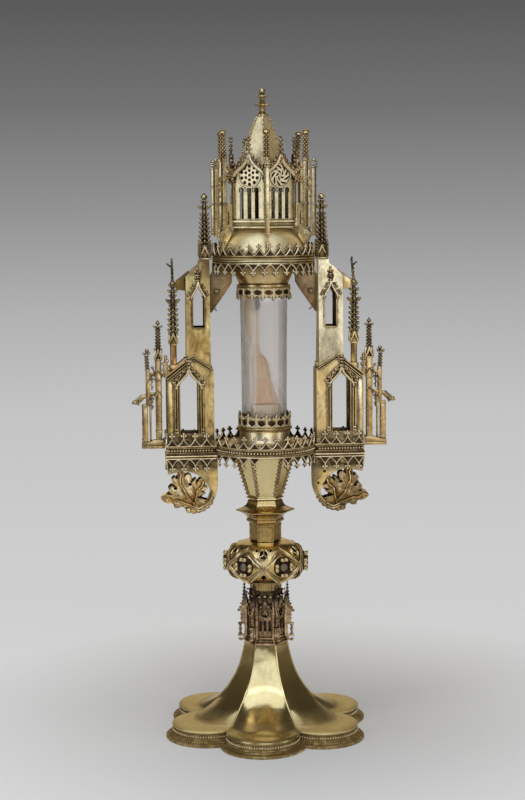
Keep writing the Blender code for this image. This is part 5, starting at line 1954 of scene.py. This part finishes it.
def outer_pillars(side):
    shape = block((80.8, 99.4), 3.4, (233.6, 235.8), 0.5)
    foot = [(80.8, 235), (99.4, 235), (99.4, 238.4), (93, 239), (90, 240.6), (82, 240.6), (80.8, 238.6)]
    add(shape, plate(foot, 5.4, 0, 0.5), block((82.8, 87.9), 2.4, (238, 306), 0.8))
    steps = ((247, 0.3), (262.6, 0.3), (288.6, 0.6), (295.2, 0.4), (304.8, 0.5))
    collars(shape, 82.8, 87.9, 2.4, 1, steps, 0.3)
    add(shape, block((91.2, 92.9), 1.2, (237, 273), 0.4), block((94.2, 98.9), 2.1, (237, 269.6), 0.7))
    slab(shape, (92.2, 95.6), 1.8, (268, 298), 0.6)
    collars(shape, 94.2, 98.9, 2.1, 1.2, ((240, 0.3), (254.6, 0.3), (267.4, 0.3)), 0.3)
    for z in (276, 292):
        slab(shape, (87.6, 93), 1.7, (z, z + 2.8), 0.5)
    add(shape, rod([(83, 0, 292.6), (79.6, 0, 293)], 2.8, 3.6), rod([(83, 0, 238.6), (79.6, 0, 241.8)], 3, 3.6))
    return shape


def pillar_crowns(side):
    """The dark cast parts: both crowns, the small gables, the tracery and the beast."""
    shape = studded(313, 331, 4.2, 2.6, 1.15)
    gablets(shape, 305.6, 313.6, 6)
    lay(shape, [(0, 0, 304), (0, 0, 318)], [4, 3], None)
    leaf_ring(shape, 331.4, 3.9, 1.6)
    leaf_ring(shape, 331.8, 3.5, 1.4, 0)
    add(shape, ball((0, 0, 334.6), (2.1, 2.1, 1.7)), ball((0, 0, 336.6), (0.9, 0.9, 0.8)))
    shape.transform(at(85.3))
    stem = studded(297, 308.6, 3.4, 2.5, 1)
    leaf_ring(stem, 309.8, 3.2, 1.6)
    leaf_ring(stem, 310.4, 2.8, 1.4, 0)
    drop(stem, (-0.6, 0, 312.6), (2, 1.8, 1.8))
    add(shape, stem, matrix=at(94, 0, 295) @ lean_by(0.05) @ at(0, 0, -295))
    for z in (276.2, 292):
        for end in (82.4, 88.4):
            lay(shape, [(85.4, -2.9, z + 4.8), (end, -2.9, z - 0.8)], 1.1, 1.2, 5)
        lay(shape, [(94.6, -2, z - 5.6), (91.6, -2, z - 0.2), (88.4, -2, z + 2.4)], 1.1, 1.2, 5)
        for x, fall, size in ((89.4, 2.4, 1.1), (91.6, 2.6, 1.1), (90.4, 4.6, 1.2), (91, 7, 1),
            (89.8, 8.8, 0.9), (90.8, 11, 0.8)):
            drop(shape, (x, 0, z - fall), (size, 1, size))
        lay(shape, [(90.4, 0, z), (90.8, 0, z - 4), (90.4, 0, z - 11.4)], 1.1, 1.3, 5)
    add(shape, rod([(88, 0, 294.6), (89.8, 0, 298)], [1.8, 1.2], 1.5), ball((90, 0, 299), (1.5, 1.2, 1.3)))
    beast = curved([(94.6, 275.6), (97.8, 275.8), (100.4, 273.4), (102.6, 271.2), (105, 270.6)], 3)
    lay(shape, flat(beast), [3 + 1.4 * sin(pi * k / (len(beast) - 1)) for k in range(len(beast))], 3.4)
    add(shape, ball((104.4, 0, 271.2), (2.2, 2, 1.8), 2),
        rod([(105, 0, 270.6), (106.8, 0, 269.8)], [2, 1.3], 2.2))
    for y in (-1.4, 1.4):
        add(shape, ball((103, y, 273.2), (0.9, 0.6, 1.3)),
            rod([(100.6, y, 272.4), (101.6, y * 1.5, 268.6)], [1.8, 1.1], 1.4, 5))
    return shape


OLD_PILLAR = gilding("old_pillar_gilt", (0.8, 0.61, 0.31), (0.38, 0.25, 0.12), (0.05, 0.028, 0.014),
    (0.22, 0.38), 3.2, shade_and_dirt=1.8, stains=0.6)
per_side(outer_pillars, (PILLAR, OLD_PILLAR), "outer_pillars")
per_side(pillar_crowns, DARK, "outer_pillars", 60)

# %% [markdown]
# ## Cornices
# Each tower stands on a moulded band with beads, a crest and a fringe, like the gallery's but
# straight. The band is a stack of rectangles, cut round where it meets the gallery.

# %% Cornices
CORNICE_MIDDLE = 59.9
PITCH = 9.2
TOWER_CREST = crest_unit(PITCH, 10.6)
TOWER_FRINGE = crest_unit(PITCH, 10.4)
TOWER_SHADE_BACKING = crest_shade_backing(PITCH, 10.4)


def half_sides(spread):
    return 18.3 + spread, TOWER_DEEP + spread


def rectangle(spread, z):
    half_x, half_y = half_sides(spread)
    return [(CORNICE_MIDDLE + sx * half_x, sy * half_y, z) for sx, sy in ((-1, -1), (1, -1), (1, 1), (-1, 1))]


def clear_of_gallery(rows):
    """A band through (spread, z), cut round where it meets the gallery."""
    band = loft([rectangle(spread, z) for spread, z in rows])
    return carve(band, turned([(0, 260), (42.5, 260), (42.5, 200), (0, 200)], 96))


def along_band(spread, pitch):
    """Places for units on the front, the outer side and the back, with X along the band."""
    half_x, half_y = half_sides(spread)
    places = []
    for sy in (-1, 1):
        for k in range(int(half_x * 2 / pitch)):
            x = CORNICE_MIDDLE + half_x - pitch * (k + 0.5)
            if x**2 + half_y**2 > 43.6**2:
                places.append(at(x, sy * half_y) @ (Matrix() if sy < 0 else spin_by(pi)))
    count = int(half_y * 2 / pitch)
    for k in range(count):
        y = (k + 0.5 - count / 2) * half_y * 2 / count
        places.append(at(CORNICE_MIDDLE + half_x, y) @ spin_by(pi / 2))
    return places


def tower_cornice(side):
    profile = [(2.1, 236.8), (2.5, 236.4), (2, 235.8), (1.3, 235.5), (1.7, 234.9), (1.2, 234.4), (0.2, 234.1)]
    profile += [(0, 232.9), (0.2, 231.8), (1.2, 231.5), (1.8, 230.9), (1.2, 230.4), (1.9, 229.9), (1.4, 229.3)]
    profile += [(2.2, 228.9), (2.5, 228.3), (2, 227.7), (1.1, 227.3), (1.8, 226.7), (2.1, 226.1), (1.8, 225.8)]
    return clear_of_gallery(profile)


def cornice_beads(side):
    shape = bmesh.new()
    bead = as_mesh(ball((0, 0, 0), (0.9, 0.9, 0.95)))
    for place in along_band(0.9, 2.3):
        stamp(shape, bead, place @ at(0, 0, 232.9))
    return shape


def cornice_groove(side):
    """The dark floor of the beads' groove, painted shade."""
    return clear_of_gallery([(0.35, 231.9), (0.35, 234.3)])


def cornice_units(upper, lower):
    """Crest and fringe, either the bright arches or the dark sheets that paint their shade. A unit's Y points
    outwards.
    """
    shape = bmesh.new()
    for k, place in enumerate(along_band(1.6, PITCH)):
        outwards = place @ TO_BACK
        stamp(shape, upper, outwards @ at(0, 0, 236.8) @ ragged(k, "crest"))
        stamp(shape, lower, outwards @ at(0, 0, 226) @ ragged(k + 0.5, "fringe") @ HANGING)
    return shape


def cornice_crest(side):
    return cornice_units(TOWER_CREST, TOWER_FRINGE)


def cornice_shade_backing(side):
    return cornice_units(TOWER_SHADE_BACKING, TOWER_SHADE_BACKING)


CORNICE = gilding("cornice_gilt", (0.88, 0.7, 0.41), (0.54, 0.39, 0.21), (0.06, 0.034, 0.017), (0.26, 0.4), 1.2,
    shade_and_dirt=1.5)
per_side(tower_cornice, CORNICE, "tower_cornice", 30)
per_side(cornice_groove, SHADE_DARK, "tower_cornice")
per_side(cornice_beads, HIGHLIGHT_GILT, "tower_cornice")
per_side(cornice_crest, HIGHLIGHT_GILT, "tower_cornice", 70)
per_side(cornice_shade_backing, SHADE_DARK, "tower_cornice")

# %% [markdown]
# ## Bracket and leaf
# Under each tower a curved bracket ends in one large leaf of thick sheet that fills its bite, lofted
# from its middle out to a lobed edge. One function gives its height: rounded swellings, and a valley
# along each vein, under a raised cord. The rim curls forward on a lobe and falls back between lobes.

# %% Bracket


def tower_bracket(side):
    outer = curved([(38.9, 225.4), (38.9, 205), (40, 197), (43, 190.2), (48.4, 185), (55, 182.6),
        (61, 182.6)], 4)
    inner = curved([(61, 185), (55, 185.6), (49.6, 188.4), (45.8, 192.6), (44.4, 197.6)], 4)
    bite = arc((66.5, 193.4), 22.2, 166, 84, 18)
    outline = [*outer, *inner, *bite, (73, 214.4), (78.8, 213), (79, 225.4)]
    shape = plate(outline, 19, 0)
    soften_edges(shape, 0.5, radians(40))
    if side == "right":
        holes = ((47.6, 213.6, 1.3), (42.6, 204.2, 1.1))
        drills = (plate(arc((x, z), size, 0, 315, 7), 40) for x, z, size in holes)
        shape = carve(shape, add(bmesh.new(), *drills))
    dent(shape, 12, 0.25)
    return shape


per_side(tower_bracket, BRACKET, "tower_bracket", 35)

# %% Leaf
LEAF_EDGE = [
    (84.8, 192.6), (82.8, 195.4), (79.6, 196.6), (76.8, 196.4), (78, 198.6), (78.6, 201), (76.4, 203.4),
    (73.4, 203.4), (72.2, 202.4), (74, 204.4), (76, 207.6), (74, 210.4), (70.6, 209.6), (71.2, 212.2),
    (71, 215.2), (68.4, 215.8), (65.8, 214.6), (65.4, 210.6), (63.2, 212.6), (60.4, 211.8), (59.6, 209),
    (60.6, 206), (58.8, 207.6), (56.2, 208.8), (55.4, 205.8), (53.2, 208.6), (50.4, 208.6), (47.8, 205.8),
    (50.8, 203.2), (46.9, 201.8), (47.3, 200), (51.4, 198.8), (48.3, 197.4), (51.2, 195.2), (55, 193.6),
    (53, 191.8), (48.8, 190.4), (43.6, 190), (45.8, 187.6), (49.6, 185), (55.2, 183.1), (60, 182.4),
    (62.8, 184.6), (65.4, 184.2), (67.2, 187), (70, 185.4), (73.6, 185.4), (75, 188.4), (78, 188.8),
    (81.6, 190.2),
]
LEAF_MIDDLE = (63.6, 195.6)
LEAF_VEINS = [
    [(70, 215.4), (68.4, 212.2), (69.2, 209), (68.8, 205), (66.8, 201.8), (64.8, 197.8), (62.4, 193.8),
        (59.2, 189.8), (57.6, 186.6)],
    [(83.6, 193), (80, 194.2), (77.6, 192.6), (75.2, 191.4), (71.2, 191.8), (68, 190.6), (64.8, 189),
        (60.8, 187.4), (58.4, 186.2)],
    [(50.4, 206.6), (51.2, 203.4), (53.6, 201), (55.6, 199), (56, 195.4), (56.8, 192.2), (57.6, 189)],
]
LEAF_SWELLS = [
    (68.2, 196, 4.8, 4.6), (60.2, 197.8, 4.4, 4.2), (72.8, 206.8, 1.6, 3.4), (62.4, 206.4, 1.6, 3.4),
    (75.4, 199.6, 1.6, 2.6), (53.6, 205, 1.4, 2.6), (50.2, 198.6, 1.2, 2.4), (71.8, 187.6, 1.4, 3),
    (80, 193.4, 1.2, 3), (50, 188, 1.4, 3.2),
]
LEAF_FOOT = [
    (43.4, 193.6, 1.8), (45, 189.6, 2.1), (47.8, 186.8, 2.3), (51.2, 184.6, 2.3), (54.8, 183.6, 2.5),
    (58.6, 183, 2.5), (62.4, 183.6, 2.3),
]
LEAF_HOLES = [(73, 201.6, 1.2), (61.2, 204.8, 1.2), (72, 210, 0.9)]


def leaf_height(x, z):
    """How far the leaf stands out from its plane, without its edge."""
    high = 2 * max(0, 1 - ((x - 65) / 24) ** 2 - ((z - 197) / 20) ** 2)
    for swell_x, swell_z, tall, wide in LEAF_SWELLS:
        high += tall * 2.718 ** (-((x - swell_x) ** 2 + (z - swell_z) ** 2) / wide**2)
    for vein in LEAF_LINES:
        near = min((x - vx) ** 2 + (z - vz) ** 2 for vx, vz in vein)
        high -= 1.2 * 2.718 ** (-near / 2.4)
    return high + 0.22 * noise.noise((x / 3.4, z / 3.4, 3))


def pierce(shape, x, z, size):
    """Opens an oval hole in a sheet: its faces go, and the edge left behind is drawn onto the oval."""

    def reach(co):
        return sqrt(((co.x - x) / 1.25) ** 2 + (co.z - z) ** 2)

    inside = [face for face in shape.faces if reach(face.calc_center_median()) < size]
    bmesh.ops.delete(shape, geom=inside, context="FACES")
    for vert in shape.verts:
        far = reach(vert.co)
        if vert.is_boundary and 0.01 < far < size * 1.6:
            vert.co.x = x + (vert.co.x - x) * size / far
            vert.co.z = z + (vert.co.z - z) * size / far


def leaf_front(side):
    edge = curved([*LEAF_EDGE, LEAF_EDGE[0]], 4)[:-1]
    middle_x, middle_z = LEAF_MIDDLE
    rings = []
    for step in range(25):
        share = 0.03 + 0.97 * step / 24
        ring = []
        for x, z in edge:
            px = middle_x + (x - middle_x) * share
            pz = middle_z + (z - middle_z) * share
            curl = max(0, share - 0.84) * (3 if sqrt((x - middle_x) ** 2 + (z - middle_z) ** 2) > 14 else -7)
            ring.append((px, LEAF_PLANE - leaf_height(px, pz) - curl, pz))
        rings.append(ring)
    shape = loft(rings, ends=False)
    for x, z, size in LEAF_HOLES:
        pierce(shape, x, z, size)
    thicken(shape, shape.faces[:], (0, 0.9, 0))
    return shape


def leaf_cords(side):
    """A raised cord along each vein, and two that run on along the end of the bracket."""
    shape = bmesh.new()
    for line in LEAF_LINES:
        lay(shape, [(x, LEAF_PLANE - leaf_height(x, z) - 0.9, z) for x, z in line], 1.5, 2.4)
    for shift in (-0.9, 0.9):
        line = curved([(60, 186.6), (54.6, 184.6), (49.4, 186.4), (45.2, 190.8), (43, 197 - shift)], 4)
        lay(shape, [(x, -11, z + shift) for x, z in line], 0.9, 1.6, 5)
    return both_faces(shape)


def leaf_shade_backing(side):
    """A dark plate behind the leaf, which closes the cuts between its lobes with painted shade."""
    count = len(LEAF_EDGE)
    outline = []
    for i in range(count):
        near = [LEAF_EDGE[(i + k) % count] for k in range(-2, 3)]
        pairs = zip(LEAF_MIDDLE, zip(*near))
        outline.append(tuple(middle + (sum(part) / 5 - middle) * 0.97 for middle, part in pairs))
    return plate(outline, 4, 0)


def tower_leaf(side):
    shape = both_faces(leaf_front(side))
    lay(shape, [(46, 0, 189.6), (52, 0, 186), (58, 0, 185.4), (64, 0, 187)], [3, 3.6, 4, 3], 9, 8)
    lobes = bmesh.new()
    for x, z, size in LEAF_FOOT:
        drop(lobes, (x, -8.6, z), (size * 1.15, 2.4, size), 2)
    return add(shape, both_faces(lobes))


LEAF_PLANE = -5
LEAF_LINES = [curved(vein, 5) for vein in LEAF_VEINS]
DULL_LEAF = gilding("dull_leaf_gilt", (0.52, 0.38, 0.18), (0.34, 0.24, 0.11), (0.07, 0.04, 0.018), (0.3, 0.4),
    2.4, shade_and_dirt=1.5)
per_side(tower_leaf, (DULL_LEAF, LEAF), "tower_leaf", 50)
per_side(leaf_cords, LEAF, "tower_leaf", 50)
per_side(leaf_shade_backing, SHADE_DARK, "tower_leaf")

# %% Gussets


def gusset(side):
    """A riveted copper plate between the upper ring and the tower, an old repair."""
    outer = 43.1
    outline = [(outer, 372.4), (38.6, 381.2), (26.8, 381.2), (25.2, 372), (25.4, 367), (28.4, 362),
        (41.8, 342.6)]
    shape = plate([*outline, (outer, 342.6)], 1.6, 0, 0.25)
    slab(shape, (36, 39.6), 1.9, (357.4, 361), 0.5)
    for x, z in ((40.4, 346.6), (39, 348.2), (27.8, 376), (31.6, 378.2)):
        drop(shape, (x, -1, z), (0.9, 0.8, 0.9))
    pin = (38, 344) if side == "left" else (36.6, 344.6)
    lay(shape, [(40.6, -0.8, 347.8), (pin[0], -1.6, pin[1])], 0.9)
    dent(shape, 6, 0.3)
    return shape


per_side(gusset, COPPER, "gusset")
